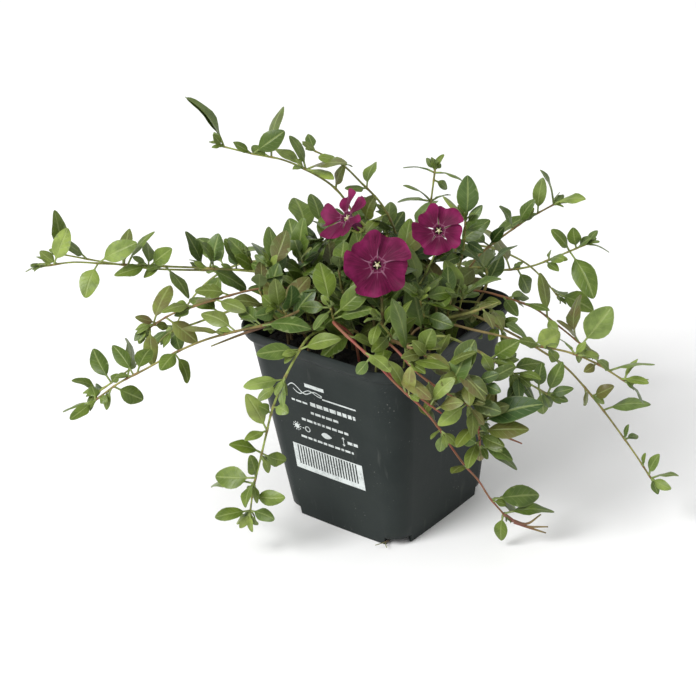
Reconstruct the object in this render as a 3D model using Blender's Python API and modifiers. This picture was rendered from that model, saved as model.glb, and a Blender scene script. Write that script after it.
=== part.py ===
"""A lesser periwinkle with wine-purple flowers, growing in a square nursery pot.

The pot, the soil, each leafy stem with its leaves, each corolla and each flower's stigma is one object.
Metres, +Z up. The origin is the middle of the pot's foot, and the pot's sides face X and Y.
"""

import math
import random

import bmesh
import bpy
import numpy as np
from mathutils import Matrix, Vector
from mathutils.bvhtree import BVHTree

MM = 0.001

# The pot: a thin moulded wall, flared into a lip, with the corners of its foot cut up
POT_HEIGHT = 94 * MM
POT_FOOT_HALF = 31.7 * MM
POT_NECK_HALF = 42.4 * MM
POT_RIM_HALF = 45 * MM
POT_WALL = 1.1 * MM
FOOT_CORNER = 8 * MM
NECK_CORNER = 13.5 * MM
RIM_CORNER = 12 * MM
LIP_HEIGHT = 6.5 * MM
FLOOR_LIFT = 4 * MM
FOOT_PAD_HALF = 10 * MM
NOTCH_HEIGHT = 3.6 * MM
DRAIN_RADIUS = 3.5 * MM
CORNER_STEPS = 4

# The soil: a block that fills the pot, with an uneven top
SOIL_TOP = 82 * MM
SOIL_BUMP = 0.9 * MM
FIT_GAP = 0.35 * MM
HOLE_DEPTH = 15 * MM
HOLE_SIDES = 5
COLLAR_HEIGHT = SOIL_TOP + 2.4 * MM

# The plant was drawn as it is seen from in front of one corner of the pot, turned by this much
VIEW_TURN = math.radians(40.4)
VIEW_HEIGHT_ANGLE = math.radians(27.3)
VIEW_ROLL = math.radians(-3.7)

# The photograph's camera, fitted to the seen corners of the pot: its turn, height angle and roll, its distance
# from its aim, and the picture's middle and the camera's focal length, both in the picture's dots
CAMERA_TURN = math.radians(40.361)
CAMERA_HEIGHT_ANGLE = math.radians(27.313)
CAMERA_ROLL = math.radians(-3.664)
CAMERA_DISTANCE = 950.54 * MM
CAMERA_AIM = np.array([-17.36, 0, 71.26]) * MM
PICTURE_MIDDLE = 348
FOCAL_DOTS = 2156.46

# Leaves and stems
STEM_RADIUS = 1.15 * MM
TIP_RADIUS = 0.7 * MM
LEAF_THICKNESS = 0.7 * MM
SMALL_LEAF = 13.5 * MM
LEAF_SHARE = 0.46
TIP_SHRINK = 0.22
PETIOLE_SHARE = 0.2
PETIOLE_HALF_WIDTH = 0.42 * MM
CLEARANCE = 0.45 * MM
TRIES = 14
DRAWN_LEANS = (0, 2.5, -2.5, 5, -5, 8, -8, 11, -11)
SAMPLE_STEP = 3.5 * MM
TUBE_STEP = 13 * MM
ROOT_HEIGHT = 92
THINNEST_LEAF = 1.9
LONG_LEAF = 16

# Blooms
COROLLA_RADIUS = 14.5 * MM
CLEFT_RADIUS = 6.2 * MM
THROAT_RADIUS = 2.6 * MM
TUBE_RADIUS = 1.5 * MM
TUBE_LENGTH = 9 * MM
PETAL_THICKNESS = 0.7 * MM
LOBE_SHARES = (0, 0.05, 0.17, 0.42, 0.7, 0.91)
CALYX_RADIUS = 1.7 * MM
CALYX_HEIGHT = 2.6 * MM
SEPAL_LENGTH = 4.2 * MM

LEAF_GREEN = (0.135, 0.235, 0.045)
POT_BLACK = (0.028, 0.034, 0.036)
SOIL_BROWN = (0.02, 0.014, 0.01)
WINE_PURPLE = (0.24, 0.01, 0.13)
STIGMA_CREAM = (0.75, 0.7, 0.5)

# The stems as they show in the photograph: the root's place in the plan, sideways and away in millimetres,
# then places along the stem, each its x and y in the picture and how far away it lies in the plan.
# Last, the length and the number of the leaf pairs that fill the stem out.
SEEN_STEMS = {
    "runner_high_left": ((2, 22), [
        (366, 262, 21), (360, 238, 21), (350, 208, 20), (338, 191, 19), (322, 179, 18), (305, 169, 18),
        (280, 159, 17), (253, 154, 17), (224, 147, 16),
    ], 0, 0),
    "runner_far_left": ((-12, 6), [
        (322, 292, 9), (292, 276, 12), (255, 270, 13), (205, 267, 14), (150, 266, 13), (98, 263, 10),
        (60, 262, 6), (43, 266, 4),
    ], 0, 0),
    "runner_far_left_twin": ((-18, 14), [
        (296, 284, 16), (255, 273, 19), (205, 271, 20), (160, 270, 19), (125, 265, 17), (98, 261, 15),
        (80, 258, 13), (61, 254, 12),
    ], 0, 0),
    "runner_brown_left": ((-17, -2), [
        (300, 292, -4), (270, 287, -6), (236, 294, -8), (213, 300, -10), (188, 308, -11), (165, 317, -12),
        (147, 329, -13),
    ], 0, 0),
    "runner_low_left": ((-14, -10), [
        (322, 299, -14), (282, 315, -20), (250, 326, -24), (222, 333, -28), (200, 341, -30),
        (178, 351, -33), (150, 366, -36), (120, 382, -39), (93, 402, -41),
    ], 0, 0),
    "runner_low_left_twin": ((-24, 0), [
        (278, 306, -2), (252, 304, -4), (222, 314, -8), (190, 325, -10), (172, 331, -12), (150, 352, -18),
        (128, 371, -24), (112, 384, -27), (99, 391, -28),
    ], 0, 0),
    "runner_front_left": ((-20, -18), [
        (318, 330, -24), (308, 338, -31), (299, 351, -38), (286, 375, -42), (275, 400, -44),
        (268, 425, -45), (262, 450, -45), (256, 476, -44), (251, 497, -43), (250, 511, -42),
    ], 0, 0),
    "runner_front_right": ((-9, -24), [
        (330, 318, -36), (345, 335, -46), (365, 352, -56), (388, 374, -64), (408, 396, -68),
        (425, 410, -68), (438, 428, -66), (452, 448, -63), (466, 467, -60), (480, 483, -56),
        (491, 499, -52), (504, 514, -49),
    ], 0, 0),
    "runner_front_corner": ((3, -30), [
        (385, 335, -44), (405, 356, -53), (425, 378, -60), (446, 392, -62), (467, 404, -61),
        (478, 424, -59), (480, 446, -57),
    ], 0, 0),
    "runner_far_right": ((14, -10), [
        (440, 300, -14), (470, 312, -18), (502, 327, -20), (532, 345, -22), (560, 362, -25),
        (586, 389, -28), (604, 411, -31), (625, 440, -35), (642, 464, -38), (651, 478, -40),
    ], 0, 0),
    "runner_right_twin": ((12, -20), [
        (450, 324, -28), (480, 332, -32), (512, 339, -35), (550, 349, -38), (577, 354, -40),
        (600, 366, -42), (612, 372, -43), (624, 381, -43),
    ], 0, 0),
    "runner_mid_right": ((20, -4), [
        (458, 302, -8), (478, 304, -10), (494, 312, -12), (501, 330, -14),
    ], 0, 0),
    "runner_arched_right": ((14, 4), [
        (440, 297, 3), (462, 292, 2), (482, 293, 2), (501, 299, 0), (525, 306, -2), (546, 318, -4),
        (565, 332, -7), (582, 345, -9),
    ], 0, 0),
    "runner_upper_right": ((16, 12), [
        (455, 272, 13), (476, 268, 15), (505, 270, 16), (530, 266, 17), (550, 259, 17), (570, 251, 17),
        (587, 244, 16),
    ], 0, 0),
    "runner_rising_right": ((22, 18), [
        (462, 276, 20), (474, 260, 21), (490, 246, 22), (507, 233, 24), (522, 224, 26), (537, 212, 28),
        (554, 204, 30),
    ], 0, 0),
    "runner_right_drooping": ((10, -32), [
        (446, 336, -40), (462, 343, -43), (480, 352, -45), (498, 364, -45), (515, 373, -44),
        (532, 388, -42), (548, 394, -41),
    ], 0, 0),
    "shoot_left_tall": ((-28, 6), [
        (292, 298, 4), (283, 284, 3), (271, 268, 2),
    ], 25, 1),
    "shoot_left_front": ((-24, -12), [
        (300, 322, -16), (286, 317, -19), (277, 309, -20),
    ], 22, 1),
    "shoot_left_back": ((-30, 18), [
        (268, 286, 18), (257, 270, 16), (248, 256, 14),
    ], 24, 1),
    "shoot_centre": ((-6, -18), [
        (342, 330, -22), (335, 318, -25), (331, 308, -26),
    ], 22, 1),
    "shoot_centre_back": ((-20, 14), [
        (308, 292, 14), (303, 276, 14), (299, 262, 13),
    ], 24, 1),
    "shoot_middle_back": ((4, 14), [
        (400, 290, 12), (402, 272, 12), (403, 256, 12),
    ], 26, 2),
    "shoot_front": ((-2, -34), [
        (394, 350, -40), (388, 336, -43), (380, 322, -45),
    ], 22, 1),
    "shoot_right_front": ((14, -24), [
        (426, 330, -26), (422, 314, -28), (420, 300, -28),
    ], 24, 1),
    "shoot_right": ((26, -10), [
        (460, 322, -14), (462, 308, -15), (463, 296, -15),
    ], 24, 2),
    "shoot_thin": ((14, 22), [
        (424, 264, 26), (427, 234, 29), (431, 201, 31), (434, 181, 33), (435, 169, 33),
    ], 0, 0),
    "shoot_tall_right": ((28, 6), [
        (458, 272, 6), (464, 246, 5), (466, 231, 5), (465, 221, 4),
    ], 22, 1),
    "shoot_leaning_back": ((8, 28), [
        (402, 264, 26), (397, 242, 25), (391, 221, 24), (380, 202, 22), (368, 190, 21), (356, 177, 20),
        (344, 166, 18), (330, 158, 17), (314, 151, 16),
    ], 0, 0),
}

# The stems behind, which the photograph hides: each route in the plan, sideways, away and up in millimetres,
# from its root in the soil to its tip, then the length of its leaves and the number of its leaf pairs.
BACK_STEMS = {
    "runner_back_left": ([
        (-22, 24, 92), (-38, 34, 102), (-54, 44, 101), (-70, 52, 92), (-84, 60, 76), (-94, 66, 58),
    ], 24, 3),
    "runner_back": ([
        (-6, 34, 92), (-12, 50, 103), (-16, 64, 100), (-20, 76, 84), (-22, 84, 64), (-24, 88, 44),
        (-26, 90, 26),
    ], 24, 3),
    "runner_back_twin": ([
        (6, 34, 92), (10, 48, 104), (16, 62, 104), (24, 74, 96), (34, 86, 84), (42, 96, 68),
    ], 24, 3),
    "runner_back_right": ([
        (20, 28, 92), (32, 38, 102), (46, 46, 101), (60, 54, 93), (74, 62, 80), (86, 68, 62),
    ], 24, 3),
    "runner_back_rising": ([
        (-10, 28, 94), (-17, 37, 104), (-26, 48, 108), (-36, 60, 104), (-45, 72, 92),
    ], 24, 3),
}
# Flowering shoots end in a flower stalk: the route, the bloom's middle, the way that it faces, its size and its
# turn, and the length and number of its leaf pairs.
FLOWER_SHOOTS = {
    "bloom_left": (
        [(-4, 0, 92), (-7, -4, 116), (-6, -7, 130)], (-11, -10, 144), (-0.62, -0.28, 0.73), 1.0, 30, 25, 2,
    ),
    "bloom_front": (
        [(2, -4, 92), (3, -8, 108), (2, -14, 120)], (1, -32, 131), (0.05, -0.88, 0.47), 1.0, 12, 25, 2,
    ),
    "bloom_right": (
        [(10, -4, 92), (20, -2, 108), (27, 2, 120)], (28, -6, 133), (-0.1, -0.84, 0.53), 0.88, 20, 24, 2,
    ),
}

# Leaves as they show in the photograph, by stem: the x and y in the picture where a leaf starts, those of its
# tip, and the width that shows.
SEEN_LEAVES = {
    "runner_far_left": [
        (50, 262, 22, 270, 5), (52, 261, 70, 229, 19), (57, 262, 40, 252, 12), (98, 262, 86, 297, 21),
        (97, 262, 138, 244, 21), (125, 263, 127, 227, 14), (128, 265, 154, 231, 9),
        (149, 268, 116, 276, 14), (151, 266, 174, 250, 17), (165, 270, 192, 298, 8),
        (209, 266, 219, 235, 20), (205, 270, 247, 288, 14), (215, 268, 204, 246, 13),
    ],
    "runner_far_left_twin": [
        (58, 250, 57, 211, 17), (86, 262, 63, 240, 13), (150, 264, 145, 240, 13), (205, 264, 187, 232, 13),
        (252, 264, 226, 240, 18), (124, 262, 118, 246, 9), (237, 266, 230, 250, 13),
    ],
    "runner_brown_left": [
        (188, 306, 222, 297, 8), (216, 299, 247, 312, 14), (152, 321, 168, 284, 17),
        (151, 318, 137, 317, 9), (152, 325, 167, 327, 9), (151, 325, 139, 330, 8),
        (149, 329, 153, 365, 15), (165, 316, 198, 342, 19), (195, 306, 163, 311, 9),
        (232, 294, 196, 290, 14),
    ],
    "runner_low_left": [
        (178, 352, 163, 370, 17), (176, 354, 187, 384, 12), (134, 374, 112, 345, 15),
        (128, 378, 125, 337, 12), (138, 372, 148, 347, 18), (113, 388, 141, 401, 19),
        (98, 398, 108, 402, 9), (95, 400, 90, 386, 12), (93, 402, 59, 411, 10), (93, 402, 72, 419, 13),
        (222, 333, 184, 328, 12), (236, 330, 200, 312, 17), (260, 324, 312, 327, 19),
        (262, 324, 240, 306, 14),
    ],
    "runner_low_left_twin": [
        (109, 380, 91, 348, 18), (110, 381, 119, 374, 10), (104, 386, 92, 392, 13),
        (100, 390, 74, 380, 11), (178, 333, 180, 350, 14), (222, 318, 188, 297, 14),
        (236, 312, 257, 318, 16),
    ],
    "runner_high_left": [
        (224, 148, 190, 97, 7), (253, 154, 284, 132, 20), (270, 157, 281, 103, 14),
        (304, 168, 274, 148, 12), (305, 169, 291, 137, 12), (306, 169, 347, 166, 10),
        (306, 170, 334, 180, 9), (337, 190, 343, 167, 7),
    ],
    "shoot_leaning_back": [
        (313, 151, 308, 132, 11), (344, 165, 320, 158, 8), (366, 188, 376, 159, 12),
        (367, 190, 345, 189, 11), (387, 213, 366, 234, 8), (390, 218, 384, 234, 7),
        (313, 151, 303, 143, 7), (344, 166, 352, 164, 5),
    ],
    "runner_front_left": [
        (298, 351, 257, 354, 18), (300, 351, 341, 339, 15), (282, 378, 244, 386, 16),
        (279, 385, 256, 401, 13), (287, 376, 284, 407, 8), (262, 429, 247, 394, 18),
        (268, 412, 260, 405, 12), (272, 404, 288, 412, 13), (266, 431, 246, 440, 8),
        (261, 452, 231, 442, 12), (261, 454, 287, 462, 15), (256, 477, 251, 455, 13),
        (254, 478, 213, 478, 23), (253, 484, 207, 486, 17), (252, 480, 246, 506, 9),
        (252, 496, 285, 496, 16), (250, 512, 215, 516, 13), (250, 513, 275, 518, 12),
    ],
    "runner_front_right": [
        (441, 430, 459, 447, 8), (440, 430, 430, 438, 5), (491, 499, 543, 496, 21),
        (503, 513, 553, 508, 13), (493, 501, 521, 512, 11), (504, 514, 502, 543, 14),
        (370, 357, 357, 375, 12), (368, 354, 390, 372, 13), (347, 337, 376, 348, 12),
        (408, 396, 409, 367, 14), (404, 391, 388, 360, 12), (437, 425, 420, 404, 9),
        (466, 466, 450, 470, 6),
    ],
    "runner_front_corner": [
        (468, 404, 437, 424, 16), (479, 429, 494, 392, 15), (479, 431, 527, 427, 17),
        (479, 435, 503, 446, 14), (480, 446, 512, 460, 13), (480, 446, 519, 468, 13),
        (480, 446, 461, 436, 16), (480, 446, 480, 462, 12), (469, 405, 485, 425, 10),
        (428, 380, 432, 398, 11), (449, 392, 470, 347, 22), (408, 358, 391, 299, 17),
        (408, 360, 448, 367, 11), (440, 388, 452, 376, 12), (448, 392, 482, 400, 13),
    ],
    "runner_far_right": [
        (532, 345, 561, 332, 24), (532, 344, 505, 324, 10), (592, 396, 611, 387, 14),
        (590, 396, 603, 403, 8), (603, 409, 648, 403, 12), (625, 438, 641, 437, 6),
        (626, 439, 627, 424, 5), (643, 464, 643, 452, 4), (650, 476, 656, 453, 8),
        (651, 478, 668, 488, 10), (651, 478, 675, 474, 4), (586, 388, 588, 406, 8),
        (560, 362, 548, 350, 12),
    ],
    "runner_right_twin": [
        (612, 369, 598, 360, 9), (613, 369, 652, 363, 5), (628, 380, 638, 358, 7), (622, 381, 646, 382, 7),
        (625, 382, 648, 404, 5), (599, 364, 589, 346, 9), (598, 363, 583, 371, 10),
        (575, 354, 561, 338, 7), (540, 348, 518, 340, 10), (577, 354, 584, 342, 7),
    ],
    "runner_mid_right": [
        (490, 306, 502, 330, 9), (478, 303, 470, 322, 10), (493, 311, 477, 324, 8),
        (478, 303, 499, 302, 8), (500, 326, 488, 340, 10), (500, 326, 517, 319, 10),
    ],
    "runner_arched_right": [
        (505, 299, 531, 297, 10), (525, 305, 547, 309, 9), (502, 299, 516, 317, 13),
        (576, 339, 580, 293, 14), (582, 344, 609, 308, 29), (580, 342, 556, 321, 9),
        (546, 318, 540, 273, 16), (548, 319, 556, 334, 10), (582, 345, 577, 362, 8),
    ],
    "runner_upper_right": [
        (547, 259, 557, 272, 9), (548, 258, 561, 261, 8), (570, 252, 551, 231, 12),
        (575, 249, 571, 228, 14), (583, 245, 589, 235, 9), (585, 244, 607, 251, 6),
        (571, 252, 591, 298, 24), (517, 269, 532, 293, 16), (509, 269, 485, 226, 13),
        (476, 268, 457, 284, 18), (548, 258, 552, 249, 4),
    ],
    "runner_rising_right": [
        (554, 203, 541, 170, 6), (537, 211, 540, 180, 14), (521, 227, 532, 201, 13),
        (514, 229, 499, 207, 8), (557, 203, 582, 199, 8), (555, 203, 560, 191, 5),
        (489, 246, 470, 227, 14), (490, 246, 503, 228, 12), (556, 203, 563, 207, 4),
    ],
    "runner_right_drooping": [
        (512, 366, 547, 362, 13), (490, 360, 517, 341, 19), (488, 372, 514, 368, 14),
        (516, 374, 518, 399, 12), (537, 389, 540, 363, 14), (550, 394, 560, 362, 15),
        (550, 394, 573, 388, 11), (536, 390, 546, 416, 16), (500, 384, 538, 403, 16),
        (474, 352, 452, 378, 16),
    ],
    "shoot_thin": [
        (434, 172, 404, 165, 6), (434, 170, 431, 162, 5), (436, 170, 441, 163, 6), (435, 179, 449, 188, 9),
        (436, 172, 463, 182, 6), (431, 199, 404, 184, 5), (430, 201, 398, 199, 6), (431, 200, 452, 192, 4),
    ],
    "shoot_tall_right": [
        (465, 221, 467, 176, 22), (466, 224, 482, 205, 11), (465, 221, 443, 196, 9),
        (466, 230, 484, 224, 9), (464, 250, 452, 240, 12), (465, 242, 481, 252, 11),
        (462, 256, 446, 262, 12),
    ],
    "shoot_left_tall": [
        (272, 272, 269, 226, 18), (273, 270, 287, 230, 20), (274, 272, 300, 288, 11),
        (277, 276, 250, 262, 14), (271, 268, 252, 240, 13),
    ],
    "shoot_left_front": [
        (277, 313, 276, 280, 18), (283, 310, 309, 276, 20), (277, 309, 262, 296, 13),
        (277, 309, 256, 316, 14),
    ],
    "shoot_left_back": [
        (250, 260, 232, 246, 14), (252, 263, 228, 238, 15), (258, 272, 236, 256, 13),
    ],
    "shoot_centre": [
        (331, 308, 320, 260, 24), (334, 314, 370, 281, 21), (336, 318, 373, 309, 15),
        (332, 312, 314, 330, 11), (331, 308, 300, 306, 13),
    ],
    "shoot_centre_back": [
        (300, 264, 303, 219, 19), (299, 270, 338, 256, 12), (301, 268, 322, 243, 13),
        (303, 276, 286, 262, 13),
    ],
    "shoot_front": [
        (380, 324, 374, 308, 9), (384, 326, 399, 303, 15), (380, 322, 372, 345, 12),
        (388, 336, 372, 352, 13), (394, 348, 408, 300, 13),
    ],
    "shoot_right_front": [
        (423, 314, 452, 326, 17), (420, 301, 442, 275, 9), (420, 300, 456, 291, 13),
        (421, 305, 458, 311, 9), (425, 328, 447, 352, 17), (426, 330, 418, 352, 15),
        (420, 300, 396, 282, 11),
    ],
    "shoot_right": [
        (461, 318, 449, 346, 13), (462, 312, 436, 330, 14), (461, 315, 484, 338, 14),
        (463, 300, 480, 292, 8), (463, 298, 446, 284, 10),
    ],
    "shoot_middle_back": [
        (402, 262, 418, 256, 12), (403, 258, 393, 244, 12), (402, 272, 436, 262, 13),
        (402, 274, 424, 290, 13), (403, 262, 444, 246, 14),
    ],
}


def turned(sideways, away, up):
    """A place that was drawn from in front of the pot's corner, in the pot's own axes."""
    c, s = math.cos(VIEW_TURN), math.sin(VIEW_TURN)
    return np.array([c * sideways - s * away, s * sideways + c * away, up])


def view_axes(turn, height_angle, roll):
    """The ways to the right, up and towards the eye of a camera that looks down from the height angle."""
    level = np.array([math.cos(turn), math.sin(turn), 0])
    ahead = np.array([-math.sin(turn), math.cos(turn), 0])
    near = np.array([0, 0, math.sin(height_angle)]) - math.cos(height_angle) * ahead
    upright = np.cross(near, level)
    c, s = math.cos(roll), math.sin(roll)
    return c * level + s * upright, c * upright - s * level, near


def seen_axes():
    """The ways to the right, up and towards the eye in the plan's view."""
    return view_axes(VIEW_TURN, VIEW_HEIGHT_ANGLE, VIEW_ROLL)


def to_half(length):
    """A length in millimetres, to the nearest half."""
    return round(length * 2) / 2


def plan_place(x, y, away):
    """The place in the plan, in millimetres, that shows at x and y in the picture and lies so far away."""
    right, up, near = view_axes(CAMERA_TURN, CAMERA_HEIGHT_ANGLE, CAMERA_ROLL)
    sight = (right * (x - PICTURE_MIDDLE) - up * (y - PICTURE_MIDDLE)) / FOCAL_DOTS - near
    eye = CAMERA_AIM + near * CAMERA_DISTANCE
    backwards = turned(0, 1, 0)
    place = eye + sight * (away * MM - eye @ backwards) / (sight @ backwards)
    return to_half(place @ turned(1, 0, 0) / MM), to_half(place @ backwards / MM), to_half(place[2] / MM)


def in_picture(places):
    """Where places show in the picture, and how far each is from the camera along its line of sight."""
    right, up, near = view_axes(CAMERA_TURN, CAMERA_HEIGHT_ANGLE, CAMERA_ROLL)
    offsets = places - CAMERA_AIM - near * CAMERA_DISTANCE
    depths = -(offsets @ near)
    dots = np.stack([offsets @ right, -(offsets @ up)], axis=-1) * FOCAL_DOTS / depths[:, None]
    return PICTURE_MIDDLE + dots, depths


def smooth_line(points, step):
    """Evenly spaced places along the smooth curve through the points."""
    points = np.asarray(points, float)
    ends = np.vstack([2 * points[0] - points[1], points, 2 * points[-1] - points[-2]])
    t = np.linspace(0, 1, 24, endpoint=False)[:, None]
    pieces = []
    for a, b, c, d in zip(ends, ends[1:], ends[2:], ends[3:]):
        pieces.append(
            0.5 * (2 * b + (c - a) * t + (2 * a - 5 * b + 4 * c - d) * t**2 + (3 * b - a - 3 * c + d) * t**3)
        )
    line = np.vstack(pieces + [points[-1:]])
    along = np.concatenate([[0], np.cumsum(np.linalg.norm(np.diff(line, axis=0), axis=1))])
    count = max(2, round(along[-1] / step))
    at = np.linspace(0, along[-1], count + 1)
    return np.stack([np.interp(at, along, line[:, k]) for k in range(3)], axis=1)


def first_routes():
    """The stems as drawn, from just above the soil."""
    routes = {}
    drawn = {
        name: [(*root, ROOT_HEIGHT)] + [plan_place(*place) for place in seen]
        for name, (root, seen, _, _) in SEEN_STEMS.items()
    }
    drawn |= {name: stem[0] for name, stem in BACK_STEMS.items()}
    for bloom, shoot in FLOWER_SHOOTS.items():
        middle, facing, size = np.array(shoot[1], float), np.array(shoot[2], float), shoot[3]
        seat = middle - facing / np.linalg.norm(facing) * (TUBE_LENGTH * size + CALYX_HEIGHT) / MM
        before = seat - facing / np.linalg.norm(facing) * 5
        drawn["stalk_of_" + bloom] = shoot[0] + [tuple(before), tuple(seat)]
    for name, places in drawn.items():
        line = np.array([turned(*place) * MM for place in places])
        collar = np.array([*line[0][:2], COLLAR_HEIGHT])
        routes[name] = smooth_line(np.vstack([collar, line]), SAMPLE_STEP)
    return routes


def rounded_square(half, corner, height, steps=CORNER_STEPS):
    """A square with round corners, as a ring of points."""
    ring = []
    for turn in range(4):
        for step in range(steps + 1):
            angle = math.pi / 2 * (turn + step / steps - 1)
            sx = 1 if turn in (0, 1) else -1
            sy = 1 if turn in (1, 2) else -1
            ring.append((sx * (half - corner) + corner * math.cos(angle),
                         sy * (half - corner) + corner * math.sin(angle), height))
    return ring


def pot_outline(height):
    """Half the pot's outer width, and its corner radius, at a height below the lip."""
    share = height / (POT_HEIGHT - LIP_HEIGHT)
    return (POT_FOOT_HALF + (POT_NECK_HALF - POT_FOOT_HALF) * share,
            FOOT_CORNER + (NECK_CORNER - FOOT_CORNER) * share)


def ease_apart(routes):
    """Stems that would cross are pushed apart a little at a time, and off the pot's lip.
    Their roots and ends stay."""
    names = sorted(routes)
    start = np.cumsum([0] + [len(routes[n]) for n in names])
    points = np.vstack([routes[n] for n in names])
    drawn = points.copy()
    owner = np.repeat(np.arange(len(names)), np.diff(start))
    pinned = np.zeros(len(points), bool)
    for k, name in enumerate(names):
        pinned[start[k]:start[k] + 2] = True
        if name.startswith("stalk_of_"):
            pinned[start[k + 1] - 4:start[k + 1]] = True
    inner = np.ones(len(points), bool)
    inner[start[:-1]] = inner[start[1:] - 1] = False
    lip = np.array(rounded_square(POT_RIM_HALF - POT_WALL / 2, RIM_CORNER, POT_HEIGHT - 0.8 * MM, 8))
    lip = smooth_line(np.vstack([lip, lip[:1]]), 2 * MM)
    apart = 2 * STEM_RADIUS + 1.6 * MM
    off_lip = STEM_RADIUS + 2.4 * MM
    for _ in range(160):
        gap = points[:, None] - points[None]
        far = np.linalg.norm(gap, axis=2)
        near = (far < apart) & (owner[:, None] != owner[None])
        push = np.where(near, (apart - far) / np.maximum(far, 1e-6), 0)[:, :, None] * gap
        move = 0.3 * push.sum(axis=1)
        gap = points[:, None] - lip[None]
        far = np.linalg.norm(gap, axis=2)
        push = np.where(far < off_lip, (off_lip - far) / np.maximum(far, 1e-6), 0)[:, :, None] * gap
        move += 0.3 * push.sum(axis=1)
        move = np.clip(move, -0.6 * MM, 0.6 * MM)
        move[pinned] = 0
        points = points + move
        eased = points.copy()
        middles = np.flatnonzero(inner & ~pinned)
        offset = points - drawn
        eased[middles] = drawn[middles] + (
            0.25 * offset[middles - 1] + 0.5 * offset[middles] + 0.25 * offset[middles + 1]
        )
        points = eased
    return {n: points[start[k]:start[k + 1]] for k, n in enumerate(names)}


def place_on(route, distance):
    """The place on a route this far from its root, and the way that it runs there."""
    along = np.concatenate([[0], np.cumsum(np.linalg.norm(np.diff(route, axis=0), axis=1))])
    distance = min(distance, along[-1])
    place = np.array([np.interp(distance, along, route[:, k]) for k in range(3)])
    ahead = np.array([np.interp(min(distance + 2 * MM, along[-1]), along, route[:, k]) for k in range(3)])
    behind = np.array([np.interp(max(distance - 2 * MM, 0), along, route[:, k]) for k in range(3)])
    way = ahead - behind
    return place, way / np.linalg.norm(way)


def unit(vector):
    return vector / np.linalg.norm(vector)


def leaf_pose(name, pair, side, attempt, place, way, length, share):
    """How one leaf stands: its length, its directions along and out of the blade, its fold and its droop.
    Later attempts turn it further round the stem."""
    draw = random.Random(f"{name} {pair} {side} {attempt}")
    up = np.array([0, 0, 1.0])
    across = np.cross(way, up)
    across = unit(across) if np.linalg.norm(across) > 0.25 else unit(np.cross(way, turned(0, 1, 0)))
    lift = unit(np.cross(across, way))
    steep = abs(way[2])
    roll = math.radians(draw.uniform(-22, 28) + (pair % 2) * (38 + 50 * steep) + side * draw.uniform(0, 14))
    roll += math.radians(attempt * 23) * (1 if attempt % 2 else -1)
    open_angle = math.radians(draw.uniform(46, 74) - 16 * share)
    out = side * (math.cos(roll) * across + math.sin(roll) * lift)
    along = unit(math.cos(open_angle) * way + math.sin(open_angle) * out + 0.18 * up)
    face = up + 0.55 * turned(0, -1, 0) * draw.uniform(-0.1, 1.2)
    face = face + np.array([draw.gauss(0, 0.3) for _ in range(3)])
    face = unit(face - (face @ along) * along)
    long = length * (1 - TIP_SHRINK * share**2) * draw.uniform(0.82, 1.12) * (0.9 if attempt > 9 else 1)
    fold = math.radians(draw.uniform(6, 20))
    droop = draw.uniform(0.02, 0.2)
    return place, along, face, long, long * LEAF_SHARE * draw.uniform(0.88, 1.1), fold, droop


def drawn_pose(name, number, row, attempt, place):
    """How a seen leaf stands. Its tip is where the photograph shows it, and it is turned about its own length
    until it looks as wide as it does there. Later attempts move its tip nearer to the eye or further away."""
    draw = random.Random(f"{name} drawn {number}")
    right, up, near = seen_axes()
    _, reach_right, reach_up, seen_width, lean = row
    reach = (reach_right * right + reach_up * up + (lean + DRAWN_LEANS[attempt]) * near) * MM
    long = np.linalg.norm(reach)
    along = reach / long
    wide = max(seen_width * MM, 0.4 * long)
    facing = unit(near - (near @ along) * along)
    tilt = math.acos(min(1, seen_width * MM / wide)) + math.radians(draw.uniform(0, 14))
    aside = np.cross(along, facing)
    ways = [math.cos(tilt) * facing + sign * math.sin(tilt) * aside for sign in (-1, 1)]
    face = max(ways, key=lambda way: way[2])
    return place, along, face, long, wide, math.radians(draw.uniform(4, 14)), draw.uniform(0, 0.08)


def hides_bloom(pose):
    """Whether a leaf would hang before a bloom's face in the photograph."""
    near = seen_axes()[2]
    for _, middle, _, size, *_ in FLOWER_SHOOTS.values():
        for u, v in ((0.5, 0), (0.54, -1), (0.54, 1), (0.82, 0), (1.0, 0)):
            offset = blade_place(pose, u, v) - turned(*middle) * MM
            ahead = offset @ near
            if ahead > -3 * MM and np.linalg.norm(offset - ahead * near) < 0.95 * COROLLA_RADIUS * size:
                return True
    return False


def blade_place(pose, u, v):
    """Where the blade lies, from u 0 at the stem to 1 at the tip, and v -1 to 1 across its width."""
    place, along, face, long, wide, fold, droop = pose
    across = np.cross(face, along)
    blade = max(0.0, (u - PETIOLE_SHARE) / (1 - PETIOLE_SHARE))
    half = PETIOLE_HALF_WIDTH if u <= PETIOLE_SHARE else wide / 2 * math.sin(math.pi * blade**0.8) ** 0.8
    lift = abs(v) * half * math.tan(fold) - droop * long * u * u + 0.06 * long * math.sin(math.pi * u)
    return place + along * long * u + across * v * half + face * lift


# Each row across a leaf: its share of the length, and the places across the width that get a point
BLADE_ROWS = ((0.0, (-1, 1)), (PETIOLE_SHARE, (-1, 1)), (0.45, (-1, 0, 1)), (0.76, (-1, 1)), (1.0, (0,)))
SMALL_BLADE_ROWS = ((0.0, (-1, 1)), (PETIOLE_SHARE, (-1, 1)), (0.58, (-1, 1)), (1.0, (0,)))


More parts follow.
